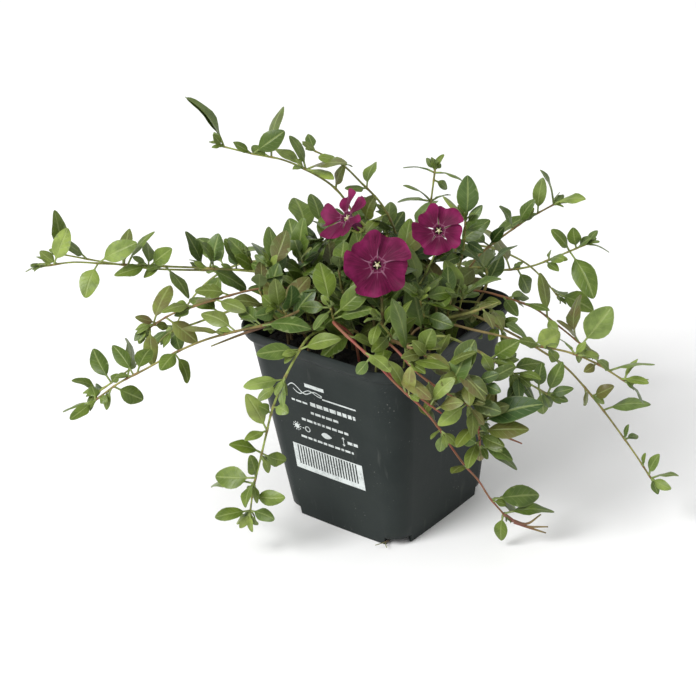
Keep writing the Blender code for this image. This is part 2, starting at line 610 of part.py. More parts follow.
def blade_mesh(name, pose, thickness=LEAF_THICKNESS, first_row=0):
    """A leaf as a closed thin solid: rows across an open blade, given its thickness by Solidify."""
    shell = bmesh.new()
    rows = []
    for u, sides in (BLADE_ROWS if pose[3] > SMALL_LEAF else SMALL_BLADE_ROWS)[first_row:]:
        rows.append([shell.verts.new(blade_place(pose, u, v)) for v in sides])
    for near, far in zip(rows, rows[1:]):
        wide, narrow = sorted((near, far), key=len, reverse=True)
        if len(wide) == 3:
            shell.faces.new((wide[0], wide[1], narrow[0]))
            shell.faces.new((wide[1], wide[2], narrow[1]))
            shell.faces.new((wide[1], narrow[1], narrow[0]))
        else:
            shell.faces.new((*wide, *narrow[::-1]))
    bmesh.ops.recalc_face_normals(shell, faces=shell.faces[:])
    bmesh.ops.triangulate(shell, faces=shell.faces[:])
    mesh = bpy.data.meshes.new(name)
    shell.to_mesh(mesh)
    shell.free()
    blade = bpy.data.objects.new(name, mesh)
    bpy.context.scene.collection.objects.link(blade)
    solidify = blade.modifiers.new("thickness", "SOLIDIFY")
    solidify.thickness = thickness
    solidify.offset = 0
    return realised(blade)


def realised(obj, weld=0.00001):
    """The object as a plain mesh with its modifiers applied, welded, in place of the first one."""
    graph = bpy.context.evaluated_depsgraph_get()
    mesh = bpy.data.meshes.new_from_object(obj.evaluated_get(graph))
    name, place = obj.name, obj.matrix_world.copy()
    collection = obj.users_collection[0]
    old = obj.data
    kind = obj.type
    bpy.data.objects.remove(obj)
    (bpy.data.curves if kind == "CURVE" else bpy.data.meshes).remove(old)
    shell = bmesh.new()
    shell.from_mesh(mesh)
    if weld:
        bmesh.ops.remove_doubles(shell, verts=shell.verts[:], dist=weld)
    bmesh.ops.recalc_face_normals(shell, faces=shell.faces[:])
    shell.to_mesh(mesh)
    shell.free()
    mesh.name = name
    made = bpy.data.objects.new(name, mesh)
    made.matrix_world = place
    collection.objects.link(made)
    return made


def tree_of(obj):
    """The faces of a mesh object, for finding what would cross it."""
    places = [obj.matrix_world @ v.co for v in obj.data.vertices]
    return BVHTree.FromPolygons(places, [tuple(p.vertices) for p in obj.data.polygons])


def material(name, colour, roughness):
    made = bpy.data.materials.get(name) or bpy.data.materials.new(name)
    made.use_nodes = True
    shader = made.node_tree.nodes["Principled BSDF"]
    shader.inputs["Base Color"].default_value = (*colour, 1)
    shader.inputs["Roughness"].default_value = roughness
    shader.inputs["Metallic"].default_value = 0
    return made


def mesh_object(name, shell, collection):
    """An object from a bmesh, with its faces pointing out."""
    bmesh.ops.recalc_face_normals(shell, faces=shell.faces[:])
    mesh = bpy.data.meshes.new(name)
    shell.to_mesh(mesh)
    shell.free()
    made = bpy.data.objects.new(name, mesh)
    collection.objects.link(made)
    return made


def loft(name, rings, collection):
    """One closed body through rings of equally many points, capped at its first and last ring."""
    shell = bmesh.new()
    rows = [[shell.verts.new(place) for place in ring] for ring in rings]
    count = len(rows[0])
    for low, high in zip(rows, rows[1:]):
        for k in range(count):
            n = (k + 1) % count
            shell.faces.new((low[k], low[n], high[n], high[k]))
    shell.faces.new(rows[0][::-1])
    shell.faces.new(rows[-1])
    return mesh_object(name, shell, collection)


def cut(obj, cutters, solver="EXACT"):
    """Takes a collection of cutters out of an object."""
    boolean = obj.modifiers.new("cuts", "BOOLEAN")
    boolean.operation = "DIFFERENCE"
    boolean.operand_type = "COLLECTION"
    boolean.collection = cutters
    boolean.solver = solver


def collection_of(name, hidden=False):
    made = bpy.data.collections.new(name)
    bpy.context.scene.collection.children.link(made)
    made.hide_render = hidden
    return made


def add_cutter(obj, cutters):
    for collection in obj.users_collection:
        collection.objects.unlink(obj)
    cutters.objects.link(obj)
    obj.hide_render = True
    obj.display_type = "WIRE"


def make_pot(plant, cutters):
    """The pot's wall, from the pad under its middle, out and up to the lip, and down inside to its floor."""
    lip_foot = POT_HEIGHT - LIP_HEIGHT
    inner_floor_half, inner_floor_corner = pot_outline(FLOOR_LIFT)
    inner_foot_half = POT_FOOT_HALF - POT_WALL
    rings = [
        rounded_square(FOOT_PAD_HALF, FOOT_PAD_HALF * 0.9, 0),
        rounded_square(FOOT_PAD_HALF + 2 * MM, FOOT_PAD_HALF, FLOOR_LIFT),
        rounded_square(inner_floor_half - POT_WALL, inner_floor_corner - POT_WALL, FLOOR_LIFT),
        rounded_square(inner_foot_half, FOOT_CORNER - POT_WALL, 0),
        rounded_square(POT_FOOT_HALF, FOOT_CORNER, 0),
        rounded_square(*pot_outline(lip_foot), lip_foot),
        rounded_square(POT_NECK_HALF + 1.5 * MM, RIM_CORNER + 0.5 * MM, lip_foot + 2 * MM),
        rounded_square(POT_RIM_HALF, RIM_CORNER, POT_HEIGHT - 1 * MM),
        rounded_square(POT_RIM_HALF - 0.4 * MM, RIM_CORNER - 0.3 * MM, POT_HEIGHT),
        rounded_square(POT_RIM_HALF - POT_WALL, RIM_CORNER - POT_WALL, POT_HEIGHT - 0.4 * MM),
        rounded_square(POT_NECK_HALF + 1.5 * MM - POT_WALL, RIM_CORNER - 0.8 * MM, lip_foot + 2 * MM),
        rounded_square(POT_NECK_HALF - POT_WALL, NECK_CORNER - POT_WALL, lip_foot - 0.5 * MM),
        rounded_square(inner_floor_half - POT_WALL, inner_floor_corner - POT_WALL, FLOOR_LIFT + POT_WALL),
        rounded_square(FOOT_PAD_HALF, FOOT_PAD_HALF * 0.9, FLOOR_LIFT + POT_WALL),
    ]
    pot = loft("pot", rings, plant)
    pot.data.materials.append(material("pot_plastic", POT_BLACK, 0.42))
    for turn in range(4):
        angle = math.pi / 4 + turn * math.pi / 2
        reach = (POT_FOOT_HALF - FOOT_CORNER) * math.sqrt(2) + FOOT_CORNER
        spot = Matrix.Rotation(angle, 4, "Z")
        notch = bmesh.new()
        bmesh.ops.create_cube(notch, size=1, matrix=spot @ Matrix.Translation((reach, 0, 0))
                              @ Matrix.Diagonal((14 * MM, 11.4 * MM, 2 * NOTCH_HEIGHT, 1)))
        add_cutter(mesh_object(f"notch_{turn + 1}", notch, cutters), cutters)
        drain = bmesh.new()
        bmesh.ops.create_cone(drain, cap_ends=True, segments=10, radius1=DRAIN_RADIUS, radius2=DRAIN_RADIUS,
                              depth=8 * MM, matrix=spot @ Matrix.Translation((24 * MM, 0, FLOOR_LIFT)))
        add_cutter(mesh_object(f"drain_{turn + 1}", drain, cutters), cutters)
    cut(pot, cutters)
    return realised(pot)


def soil_height(x, y):
    """The uneven top of the soil: three crossing waves."""
    wave = math.sin(210 * x + 90 * y) + math.sin(150 * y - 120 * x + 1) + math.sin(330 * x * y * 20 + 140 * x)
    return SOIL_TOP + SOIL_BUMP / 2 * wave


def make_soil(plant, cutters, routes):
    """The block of soil, with a plain hole for each stem."""
    floor = FLOOR_LIFT + POT_WALL + FIT_GAP
    low_half, low_corner = pot_outline(floor)
    top_half, top_corner = pot_outline(SOIL_TOP)
    inset = POT_WALL + 1.5 * FIT_GAP
    rings = [rounded_square(low_half - inset, low_corner - inset, floor),
             rounded_square(top_half - inset, top_corner - inset, SOIL_TOP - 1.5 * MM)]
    for share in (0.86, 0.55, 0.25):
        ring = rounded_square(top_half * share, top_corner * share, 0)
        rings.append([(x, y, soil_height(x, y)) for x, y, _ in ring])
    soil = loft("soil", rings, plant)
    soil.data.materials.append(material("potting_soil", SOIL_BROWN, 0.95))
    for name, route in routes.items():
        hole = bmesh.new()
        foot = route[0]
        bmesh.ops.create_cone(hole, cap_ends=True, segments=HOLE_SIDES, radius1=STEM_RADIUS + 0.6 * MM,
                              radius2=STEM_RADIUS + 0.6 * MM, depth=HOLE_DEPTH + 8 * MM,
                              matrix=Matrix.Translation((foot[0], foot[1], SOIL_TOP - HOLE_DEPTH / 2 + 4 * MM)))
        add_cutter(mesh_object("hole_" + name, hole, cutters), cutters)
    cut(soil, cutters)
    return realised(soil)


def make_tube(name, line, plant):
    """A stem without its leaves: a tapering tube, straight in its hole and then along its line."""
    root = np.array([*line[0][:2], SOIL_TOP - HOLE_DEPTH + 2 * FIT_GAP])
    line = np.vstack([root, line])
    curve = bpy.data.curves.new(name, "CURVE")
    curve.dimensions = "3D"
    curve.bevel_depth = 1
    curve.bevel_resolution = 0
    curve.use_fill_caps = True
    spline = curve.splines.new("POLY")
    spline.points.add(len(line) - 1)
    for k, (point, place) in enumerate(zip(spline.points, line)):
        share = max(0, k - 1) / (len(line) - 2)
        point.co = (*place, 1)
        point.radius = STEM_RADIUS + (TIP_RADIUS - STEM_RADIUS) * share
    tube = bpy.data.objects.new(name, curve)
    plant.objects.link(tube)
    return realised(tube)


def bloom_axes(facing, spin):
    """The directions of a bloom: two across its face, and the way that it faces, in the pot's axes."""
    out = unit(turned(*facing))
    side = unit(np.cross(np.array([0, 0, 1.0]), out))
    lift = np.cross(out, side)
    c, s = math.cos(math.radians(spin)), math.sin(math.radians(spin))
    return c * side + s * lift, c * lift - s * side, out


def lobe_radius(share):
    """The corolla's edge across one lobe, from cleft to cleft: highest early on, then cut off at a slant."""
    rise = min(1.0, share / 0.14) ** 0.4
    fall = min(1.0, (1 - share) / 0.12) ** 0.45
    blunt = 1.0 - 0.2 * max(0.0, share - 0.17)
    return CLEFT_RADIUS + (COROLLA_RADIUS * blunt - CLEFT_RADIUS) * rise * fall


def make_corolla(name, shoot, plant):
    """A corolla: a slender tube that opens into five blunt, slanted lobes, as one solid shell."""
    _, middle, facing, size, spin, *_ = shoot
    side, lift, out = bloom_axes(facing, spin)
    middle = turned(*middle) * MM
    shell = bmesh.new()
    steps = len(LOBE_SHARES)
    count = 5 * steps
    rows = []
    for row in range(4):
        ring = []
        for k in range(count):
            share = LOBE_SHARES[k % steps]
            angle = 2 * math.pi * (k // steps + share) / 5
            edge = lobe_radius(share) * size
            wave = math.sin(2 * math.pi * share)
            radius, height = (
                (TUBE_RADIUS * size, -TUBE_LENGTH * size),
                (THROAT_RADIUS * size, -0.6 * MM * size),
                (CLEFT_RADIUS * 0.92 * size, 0.9 * MM * size),
                (edge, (1.1 + 0.9 * wave) * MM * size),
            )[row]
            place = middle + radius * (math.cos(angle) * side + math.sin(angle) * lift) + height * out
            ring.append(shell.verts.new(place))
        rows.append(ring)
    for low, high in zip(rows, rows[1:]):
        for k in range(count):
            n = (k + 1) % count
            shell.faces.new((low[k], low[n], high[n], high[k]))
    shell.faces.new(rows[0][::-1])
    bmesh.ops.triangulate(shell, faces=[f for f in shell.faces if len(f.verts) == 4])
    corolla = mesh_object(name, shell, plant)
    corolla.data.materials.append(material("corolla_purple", WINE_PURPLE, 0.5))
    solidify = corolla.modifiers.new("thickness", "SOLIDIFY")
    solidify.thickness = PETAL_THICKNESS
    solidify.offset = 0
    return realised(corolla)


def make_stigma(name, shoot, plant):
    """The pale head and style in the throat: a small turned body."""
    _, middle, facing, size, spin, *_ = shoot
    side, lift, out = bloom_axes(facing, spin)
    middle = turned(*middle) * MM
    shell = bmesh.new()
    turn = Matrix((side, lift, out)).transposed().to_4x4()
    pieces = (0.45, 0.5, -8.2, -3.0), (0.5, 1.0, -3.0, -2.0), (1.0, 0.7, -2.0, -1.0)
    for radius1, radius2, low, high in pieces:
        place = Matrix.Translation(middle + out * (low + high) / 2 * MM * size) @ turn
        bmesh.ops.create_cone(shell, cap_ends=False, segments=8, radius1=radius1 * MM * size,
                              radius2=radius2 * MM * size, depth=(high - low) * MM * size, matrix=place)
    bmesh.ops.remove_doubles(shell, verts=shell.verts[:], dist=0.00001)
    bmesh.ops.holes_fill(shell, edges=[e for e in shell.edges if e.is_boundary])
    stigma = mesh_object(name, shell, plant)
    stigma.data.materials.append(material("stigma_cream", STIGMA_CREAM, 0.6))
    return stigma


def calyx_pieces(bloom, shoot, holder):
    """The green cup under a corolla and its five narrow teeth, which stand round the corolla's tube."""
    _, middle, facing, size, spin, *_ = shoot
    side, lift, out = bloom_axes(facing, spin)
    seat = turned(*middle) * MM - out * (TUBE_LENGTH * size + PETAL_THICKNESS / 2 + FIT_GAP)
    turn = Matrix((side, lift, out)).transposed().to_4x4()
    cup = bmesh.new()
    bmesh.ops.create_cone(cup, cap_ends=True, segments=6, radius1=STEM_RADIUS * 0.8, radius2=CALYX_RADIUS * 1.7,
                          depth=CALYX_HEIGHT,
                          matrix=Matrix.Translation(seat - out * CALYX_HEIGHT / 2) @ turn)
    pieces = [mesh_object("cup_" + bloom, cup, holder)]
    for k in range(5):
        angle = 2 * math.pi * (k + 0.5) / 5
        way = math.cos(angle) * side + math.sin(angle) * lift
        foot = seat + way * (CALYX_RADIUS * 1.42) - out * 0.6 * MM
        tooth = bmesh.new()
        lean = unit(out + 0.25 * way)
        aim = Vector(lean).to_track_quat("Z", "Y").to_matrix().to_4x4()
        bmesh.ops.create_cone(tooth, cap_ends=True, segments=4, radius1=0.5 * MM, radius2=0.12 * MM,
                              depth=SEPAL_LENGTH, matrix=Matrix.Translation(foot + lean * SEPAL_LENGTH / 2) @ aim)
        pieces.append(mesh_object(f"tooth_{bloom}_{k}", tooth, holder))
    return pieces


def stem_leaves(name, route):
    """Where a stem's other leaf pairs stand: the pair's number, its distance along the route, its share of
    that, and the leaves' length."""
    total = np.linalg.norm(np.diff(route, axis=0), axis=1).sum()
    if name in SEEN_STEMS or name in BACK_STEMS:
        *_, length, pairs = SEEN_STEMS.get(name) or BACK_STEMS[name]
        end = total - 2 * MM
    else:
        *_, length, pairs = FLOWER_SHOOTS[name.removeprefix("stalk_of_")]
        end = total - 26 * MM
    first = 11 * MM
    steps = max(1, pairs - 1)
    for pair in range(pairs):
        share = pair / steps
        shift = 0 if pair == pairs - 1 else random.Random(f"{name} {pair}").uniform(-0.15, 0.15)
        yield pair, first + (end - first) * (share + shift / steps), share, length * MM


def drawn_rows(name, route):
    """How the leaves seen on a stem lie, in millimetres: a leaf's distance along the stem, how far its tip
    reaches right and up in the picture, the width that shows, and how far the tip leans towards the eye.
    A leaf starts where the stem passes nearest to the place seen, and leans so that it isn't too short."""
    along = np.concatenate([[0], np.cumsum(np.linalg.norm(np.diff(route, axis=0), axis=1))])
    distances = np.linspace(0, along[-1], int(along[-1] / (0.5 * MM)))
    places = np.stack([np.interp(distances, along, route[:, k]) for k in range(3)], axis=1)
    dots, depths = in_picture(places)
    for number, (x, y, tip_x, tip_y, seen_width) in enumerate(SEEN_LEAVES.get(name, ())):
        start = np.linalg.norm(dots - (x, y), axis=1).argmin()
        dot = depths[start] / FOCAL_DOTS / MM
        if seen_width * dot < THINNEST_LEAF:
            continue
        reach_right, reach_up = (tip_x - dots[start][0]) * dot, (dots[start][1] - tip_y) * dot
        flat = math.hypot(reach_right, reach_up)
        length = flat * 1.08 if flat > LONG_LEAF else min(LONG_LEAF, flat * 1.3)
        lean = math.sqrt(max(0, length**2 - flat**2))
        towards = 1 if random.Random(f"{name} {number}").random() < 0.65 else -1
        row = distances[start] / MM, reach_right, reach_up, seen_width * dot, towards * lean
        yield [to_half(length) for length in row]


def drawn_tries(name, route):
    """For each leaf drawn on a stem, a name and its poses, the best first."""
    for number, row in enumerate(drawn_rows(name, route)):
        place, _ = place_on(route, row[0] * MM)
        yield f"drawn_{number}", [
            drawn_pose(name, number, row, attempt, place) for attempt in range(len(DRAWN_LEANS))
        ]


def other_tries(name, route):
    """For each other leaf on a stem, a name and its poses, the best first, without those that hide a bloom."""
    for pair, distance, share, length in stem_leaves(name, route):
        place, way = place_on(route, distance)
        for side in (-1, 1):
            poses = [
                leaf_pose(name, pair, side, attempt, place, way, length, share) for attempt in range(TRIES)
            ]
            yield f"{pair}_{side}", [pose for pose in poses if not hides_bloom(pose)]


def grow_leaves(tubes, blocks, routes, holder):
    """Every leaf in turn, the drawn ones first, in the first of its poses in which it crosses nothing.
    A leaf with no clear pose is left out."""
    taken = [(name, tree_of(obj)) for name, obj in blocks.items()]
    tube_trees = {name: tree_of(obj) for name, obj in tubes.items()}
    leaves = {name: [] for name in routes}
    own = {name: [] for name in routes}
    for tries_of in (drawn_tries, other_tries):
        for name, route in routes.items():
            for label, poses in tries_of(name, route):
                for pose in poses:
                    if blade_place(pose, 1.0, 0)[2] < 3 * MM:
                        continue
                    wide = blade_mesh("trial", pose, LEAF_THICKNESS + 2 * CLEARANCE)
                    blade = blade_mesh("trial_blade", pose, LEAF_THICKNESS + 2 * CLEARANCE, first_row=1)
                    whole_tree, blade_tree = tree_of(wide), tree_of(blade)
                    for trial in (wide, blade):
                        mesh = trial.data
                        bpy.data.objects.remove(trial)
                        bpy.data.meshes.remove(mesh)
                    others = [tree for other, tree in taken if other != name]
                    others += [tree for other, tree in tube_trees.items() if other != name]
                    if any(whole_tree.overlap(tree) for tree in others):
                        continue
                    if not any(blade_tree.overlap(tree) for tree in [tube_trees[name], *own[name]]):
                        break
                else:
                    continue
                leaf = blade_mesh(f"leaf_{name}_{label}", pose)
                bpy.context.scene.collection.objects.unlink(leaf)
                holder.objects.link(leaf)
                leaves[name].append(leaf)
                own[name].append(blade_tree)
                taken.append((name, whole_tree))
    return leaves


def keep_largest(obj):
    """Drops slivers that a union has cut loose."""
    shell = bmesh.new()
    shell.from_mesh(obj.data)
    left, groups = set(shell.verts), []
    while left:
        group, edge = set(), [left.pop()]
        while edge:
            corner = edge.pop()
            group.add(corner)
            for link in corner.link_edges:
                other = link.other_vert(corner)
                if other in left:
                    left.remove(other)
                    edge.append(other)
        groups.append(group)
    groups.sort(key=len)
    bmesh.ops.delete(shell, geom=[corner for group in groups[:-1] for corner in group], context="VERTS")
    shell.to_mesh(obj.data)
    shell.free()


def join(stem, pieces, holder_name):
    """One Boolean union of a stem with its leaves, which are then removed."""
    holder = collection_of(holder_name)
    for piece in pieces:
        for collection in piece.users_collection:
            collection.objects.unlink(piece)
        holder.objects.link(piece)
    union = stem.modifiers.new("leaves", "BOOLEAN")
    union.operation = "UNION"
    union.operand_type = "COLLECTION"
    union.collection = holder
    union.solver = "MANIFOLD"
    joined = realised(stem, weld=0)
    for piece in pieces:
        bpy.data.objects.remove(piece)
    bpy.data.collections.remove(holder)
    keep_largest(joined)
    return joined


def build():
    for obj in list(bpy.data.objects):
        bpy.data.objects.remove(obj)
    plant = collection_of("potted_periwinkle")
    pot_cutters = collection_of("pot_cutters", hidden=True)
    soil_cutters = collection_of("soil_cutters", hidden=True)
    holder = collection_of("leaf_pieces")
    routes = {name: smooth_line(route, TUBE_STEP) for name, route in ease_apart(first_routes()).items()}
    pot = make_pot(plant, pot_cutters)
    soil = make_soil(plant, soil_cutters, routes)
    blocks = {"pot": pot, "soil": soil}
    for bloom, shoot in FLOWER_SHOOTS.items():
        blocks[bloom] = make_corolla(bloom, shoot, plant)
        make_stigma(bloom.replace("bloom", "stigma"), shoot, plant)
    tubes = {name: make_tube(name, route, plant) for name, route in routes.items()}
    cups = {"stalk_of_" + bloom: calyx_pieces(bloom, shoot, holder) for bloom, shoot in FLOWER_SHOOTS.items()}
    leaves = grow_leaves(tubes, blocks, routes, holder)
    green = material("foliage_green", LEAF_GREEN, 0.5)
    for name, tube in tubes.items():
        joined = join(tube, leaves[name] + cups.get(name, []), "pieces_of_" + name)
        joined.data.materials.clear()
        joined.data.materials.append(green)
    bpy.data.collections.remove(holder)
    print("leaves:", sum(len(found) for found in leaves.values()))


build()
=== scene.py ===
"""A lesser periwinkle with wine-purple flowers in a square nursery pot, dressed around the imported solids.

Every length is in metres and every place is in the solids' own frame: +Z up, the pot's sides facing X and Y.
The stems and leaves follow the same rules as the solids, so each fine piece lies where its plain solid is.
"""

import math
import random

import bpy
import numpy as np
from mathutils import Matrix


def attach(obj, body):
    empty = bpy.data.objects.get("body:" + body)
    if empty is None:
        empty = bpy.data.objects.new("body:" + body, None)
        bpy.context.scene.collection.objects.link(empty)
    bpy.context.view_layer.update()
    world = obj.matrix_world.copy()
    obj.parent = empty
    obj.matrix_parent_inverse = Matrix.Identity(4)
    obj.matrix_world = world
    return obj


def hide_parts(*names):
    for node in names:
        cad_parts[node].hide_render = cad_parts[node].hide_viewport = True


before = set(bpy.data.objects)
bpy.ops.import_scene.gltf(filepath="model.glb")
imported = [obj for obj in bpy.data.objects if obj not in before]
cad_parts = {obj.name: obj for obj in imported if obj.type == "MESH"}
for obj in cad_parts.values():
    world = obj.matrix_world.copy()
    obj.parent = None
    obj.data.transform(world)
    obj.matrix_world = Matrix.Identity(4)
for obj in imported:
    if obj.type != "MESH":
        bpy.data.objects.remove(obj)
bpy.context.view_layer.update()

bl_info = {
    "name": "Potted lesser periwinkle",
    "version": (1, 0, 0),
    "blender": (4, 5, 0),
    "location": "View3D > Sidebar > Periwinkle",
    "description": "Dresses the solids of a potted lesser periwinkle with fine leaves, flowers, soil and pot",
    "category": "Object",
}

MM = 0.001

# The pot, as in the solids
POT_HEIGHT = 94 * MM
POT_FOOT_HALF = 31.7 * MM
POT_NECK_HALF = 42.4 * MM
POT_RIM_HALF = 45 * MM
POT_WALL = 1.1 * MM
FOOT_CORNER = 8 * MM
NECK_CORNER = 13.5 * MM
RIM_CORNER = 12 * MM
LIP_HEIGHT = 6.5 * MM
FLOOR_LIFT = 4 * MM
FOOT_PAD_HALF = 10 * MM
NOTCH_HEIGHT = 3.6 * MM
DRAIN_RADIUS = 3.5 * MM
DRAIN_REACH = 24 * MM

# The soil
SOIL_TOP = 82 * MM
SOIL_BUMP = 0.9 * MM
FIT_GAP = 0.35 * MM
HOLE_DEPTH = 15 * MM
COLLAR_HEIGHT = SOIL_TOP + 2.4 * MM

# The plant was drawn as it is seen from in front of one corner of the pot, turned by this much
VIEW_TURN = math.radians(40.4)
VIEW_HEIGHT_ANGLE = math.radians(27.3)
VIEW_ROLL = math.radians(-3.7)

# Leaves and stems
STEM_RADIUS = 1.15 * MM
LEAF_SHARE = 0.46
TIP_SHRINK = 0.22
PETIOLE_SHARE = 0.2
PETIOLE_HALF_WIDTH = 0.42 * MM
TRIES = 14
SMALL_LEAF = 13.5 * MM
DRAWN_LEANS = (0, 2.5, -2.5, 5, -5, 8, -8, 11, -11)
ROOT_HEIGHT = 92
THINNEST_LEAF = 1.9
LONG_LEAF = 16
SAMPLE_STEP = 3.5 * MM
TUBE_STEP = 13 * MM
FINE_STEP = 1.6 * MM

# Blooms
COROLLA_RADIUS = 14.5 * MM
THROAT_RADIUS = 2.6 * MM
TUBE_LENGTH = 9 * MM
PETAL_THICKNESS = 0.7 * MM
CALYX_HEIGHT = 2.6 * MM
SEPAL_LENGTH = 4.2 * MM

# The stems as they show in the photograph: the root's place in the plan, sideways and away in millimetres,
# then places along the stem, each its x and y in the picture and how far away it lies in the plan.
# Last, the length and the number of the leaf pairs that fill the stem out.
SEEN_STEMS = {
    "runner_high_left": ((2, 22), [(366, 262, 21), (360, 238, 21), (350, 208, 20), (338, 191, 19),
        (322, 179, 18), (305, 169, 18), (280, 159, 17), (253, 154, 17), (224, 147, 16)], 0, 0),
    "runner_far_left": ((-12, 6), [(322, 292, 9), (292, 276, 12), (255, 270, 13), (205, 267, 14),
        (150, 266, 13), (98, 263, 10), (60, 262, 6), (43, 266, 4)], 0, 0),
    "runner_far_left_twin": ((-18, 14), [(296, 284, 16), (255, 273, 19), (205, 271, 20), (160, 270, 19),
        (125, 265, 17), (98, 261, 15), (80, 258, 13), (61, 254, 12)], 0, 0),
    "runner_brown_left": ((-17, -2), [(300, 292, -4), (270, 287, -6), (236, 294, -8), (213, 300, -10),
        (188, 308, -11), (165, 317, -12), (147, 329, -13)], 0, 0),
    "runner_low_left": ((-14, -10), [(322, 299, -14), (282, 315, -20), (250, 326, -24), (222, 333, -28),
        (200, 341, -30), (178, 351, -33), (150, 366, -36), (120, 382, -39), (93, 402, -41)], 0, 0),
    "runner_low_left_twin": ((-24, 0), [(278, 306, -2), (252, 304, -4), (222, 314, -8), (190, 325, -10),
        (172, 331, -12), (150, 352, -18), (128, 371, -24), (112, 384, -27), (99, 391, -28)], 0, 0),
    "runner_front_left": ((-20, -18), [(318, 330, -24), (308, 338, -31), (299, 351, -38), (286, 375, -42),
        (275, 400, -44), (268, 425, -45), (262, 450, -45), (256, 476, -44), (251, 497, -43),
        (250, 511, -42)], 0, 0),
    "runner_front_right": ((-9, -24), [(330, 318, -36), (345, 335, -46), (365, 352, -56), (388, 374, -64),
        (408, 396, -68), (425, 410, -68), (438, 428, -66), (452, 448, -63), (466, 467, -60),
        (480, 483, -56), (491, 499, -52), (504, 514, -49)], 0, 0),
    "runner_front_corner": ((3, -30), [(385, 335, -44), (405, 356, -53), (425, 378, -60), (446, 392, -62),
        (467, 404, -61), (478, 424, -59), (480, 446, -57)], 0, 0),
    "runner_far_right": ((14, -10), [(440, 300, -14), (470, 312, -18), (502, 327, -20), (532, 345, -22),
        (560, 362, -25), (586, 389, -28), (604, 411, -31), (625, 440, -35), (642, 464, -38),
        (651, 478, -40)], 0, 0),
    "runner_right_twin": ((12, -20), [(450, 324, -28), (480, 332, -32), (512, 339, -35), (550, 349, -38),
        (577, 354, -40), (600, 366, -42), (612, 372, -43), (624, 381, -43)], 0, 0),
    "runner_mid_right": ((20, -4), [(458, 302, -8), (478, 304, -10), (494, 312, -12), (501, 330, -14)], 0,
        0),
    "runner_arched_right": ((14, 4), [(440, 297, 3), (462, 292, 2), (482, 293, 2), (501, 299, 0),
        (525, 306, -2), (546, 318, -4), (565, 332, -7), (582, 345, -9)], 0, 0),
    "runner_upper_right": ((16, 12), [(455, 272, 13), (476, 268, 15), (505, 270, 16), (530, 266, 17),
        (550, 259, 17), (570, 251, 17), (587, 244, 16)], 0, 0),
    "runner_rising_right": ((22, 18), [(462, 276, 20), (474, 260, 21), (490, 246, 22), (507, 233, 24),
        (522, 224, 26), (537, 212, 28), (554, 204, 30)], 0, 0),
    "runner_right_drooping": ((10, -32), [(446, 336, -40), (462, 343, -43), (480, 352, -45),
        (498, 364, -45), (515, 373, -44), (532, 388, -42), (548, 394, -41)], 0, 0),
    "shoot_left_tall": ((-28, 6), [(292, 298, 4), (283, 284, 3), (271, 268, 2)], 25, 1),
    "shoot_left_front": ((-24, -12), [(300, 322, -16), (286, 317, -19), (277, 309, -20)], 22, 1),
    "shoot_left_back": ((-30, 18), [(268, 286, 18), (257, 270, 16), (248, 256, 14)], 24, 1),
    "shoot_centre": ((-6, -18), [(342, 330, -22), (335, 318, -25), (331, 308, -26)], 22, 1),
    "shoot_centre_back": ((-20, 14), [(308, 292, 14), (303, 276, 14), (299, 262, 13)], 24, 1),
    "shoot_middle_back": ((4, 14), [(400, 290, 12), (402, 272, 12), (403, 256, 12)], 26, 2),
    "shoot_front": ((-2, -34), [(394, 350, -40), (388, 336, -43), (380, 322, -45)], 22, 1),
    "shoot_right_front": ((14, -24), [(426, 330, -26), (422, 314, -28), (420, 300, -28)], 24, 1),
    "shoot_right": ((26, -10), [(460, 322, -14), (462, 308, -15), (463, 296, -15)], 24, 2),
    "shoot_thin": ((14, 22), [(424, 264, 26), (427, 234, 29), (431, 201, 31), (434, 181, 33),
        (435, 169, 33)], 0, 0),
    "shoot_tall_right": ((28, 6), [(458, 272, 6), (464, 246, 5), (466, 231, 5), (465, 221, 4)], 22, 1),
    "shoot_leaning_back": ((8, 28), [(402, 264, 26), (397, 242, 25), (391, 221, 24), (380, 202, 22),
        (368, 190, 21), (356, 177, 20), (344, 166, 18), (330, 158, 17), (314, 151, 16)], 0, 0),
}

# The stems behind, which the photograph hides: each route in the plan, sideways, away and up in millimetres,
# from its root in the soil to its tip, then the length of its leaves and the number of its leaf pairs.
BACK_STEMS = {
    "runner_back_left": ([(-22, 24, 92), (-38, 34, 102), (-54, 44, 101), (-70, 52, 92), (-84, 60, 76),
        (-94, 66, 58)], 24, 3),
    "runner_back": ([(-6, 34, 92), (-12, 50, 103), (-16, 64, 100), (-20, 76, 84), (-22, 84, 64),
        (-24, 88, 44), (-26, 90, 26)], 24, 3),
    "runner_back_twin": ([(6, 34, 92), (10, 48, 104), (16, 62, 104), (24, 74, 96), (34, 86, 84),
        (42, 96, 68)], 24, 3),
    "runner_back_right": ([(20, 28, 92), (32, 38, 102), (46, 46, 101), (60, 54, 93), (74, 62, 80),
        (86, 68, 62)], 24, 3),
    "runner_back_rising": ([(-10, 28, 94), (-17, 37, 104), (-26, 48, 108), (-36, 60, 104), (-45, 72, 92)],
        24, 3),
}
# Flowering shoots end in a flower stalk: the route, the bloom's middle, the way that it faces, its size and
# its turn, then the length and the number of the leaf pairs.
FLOWER_SHOOTS = {
    "bloom_left": ([(-4, 0, 92), (-7, -4, 116), (-6, -7, 130)], (-11, -10, 144), (-0.62, -0.28, 0.73), 1.0,
        30, 25, 2),
    "bloom_front": ([(2, -4, 92), (3, -8, 108), (2, -14, 120)], (1, -32, 131), (0.05, -0.88, 0.47), 1.0, 12,
        25, 2),
    "bloom_right": ([(10, -4, 92), (20, -2, 108), (27, 2, 120)], (28, -6, 133), (-0.1, -0.84, 0.53), 0.88,
        20, 24, 2),
}

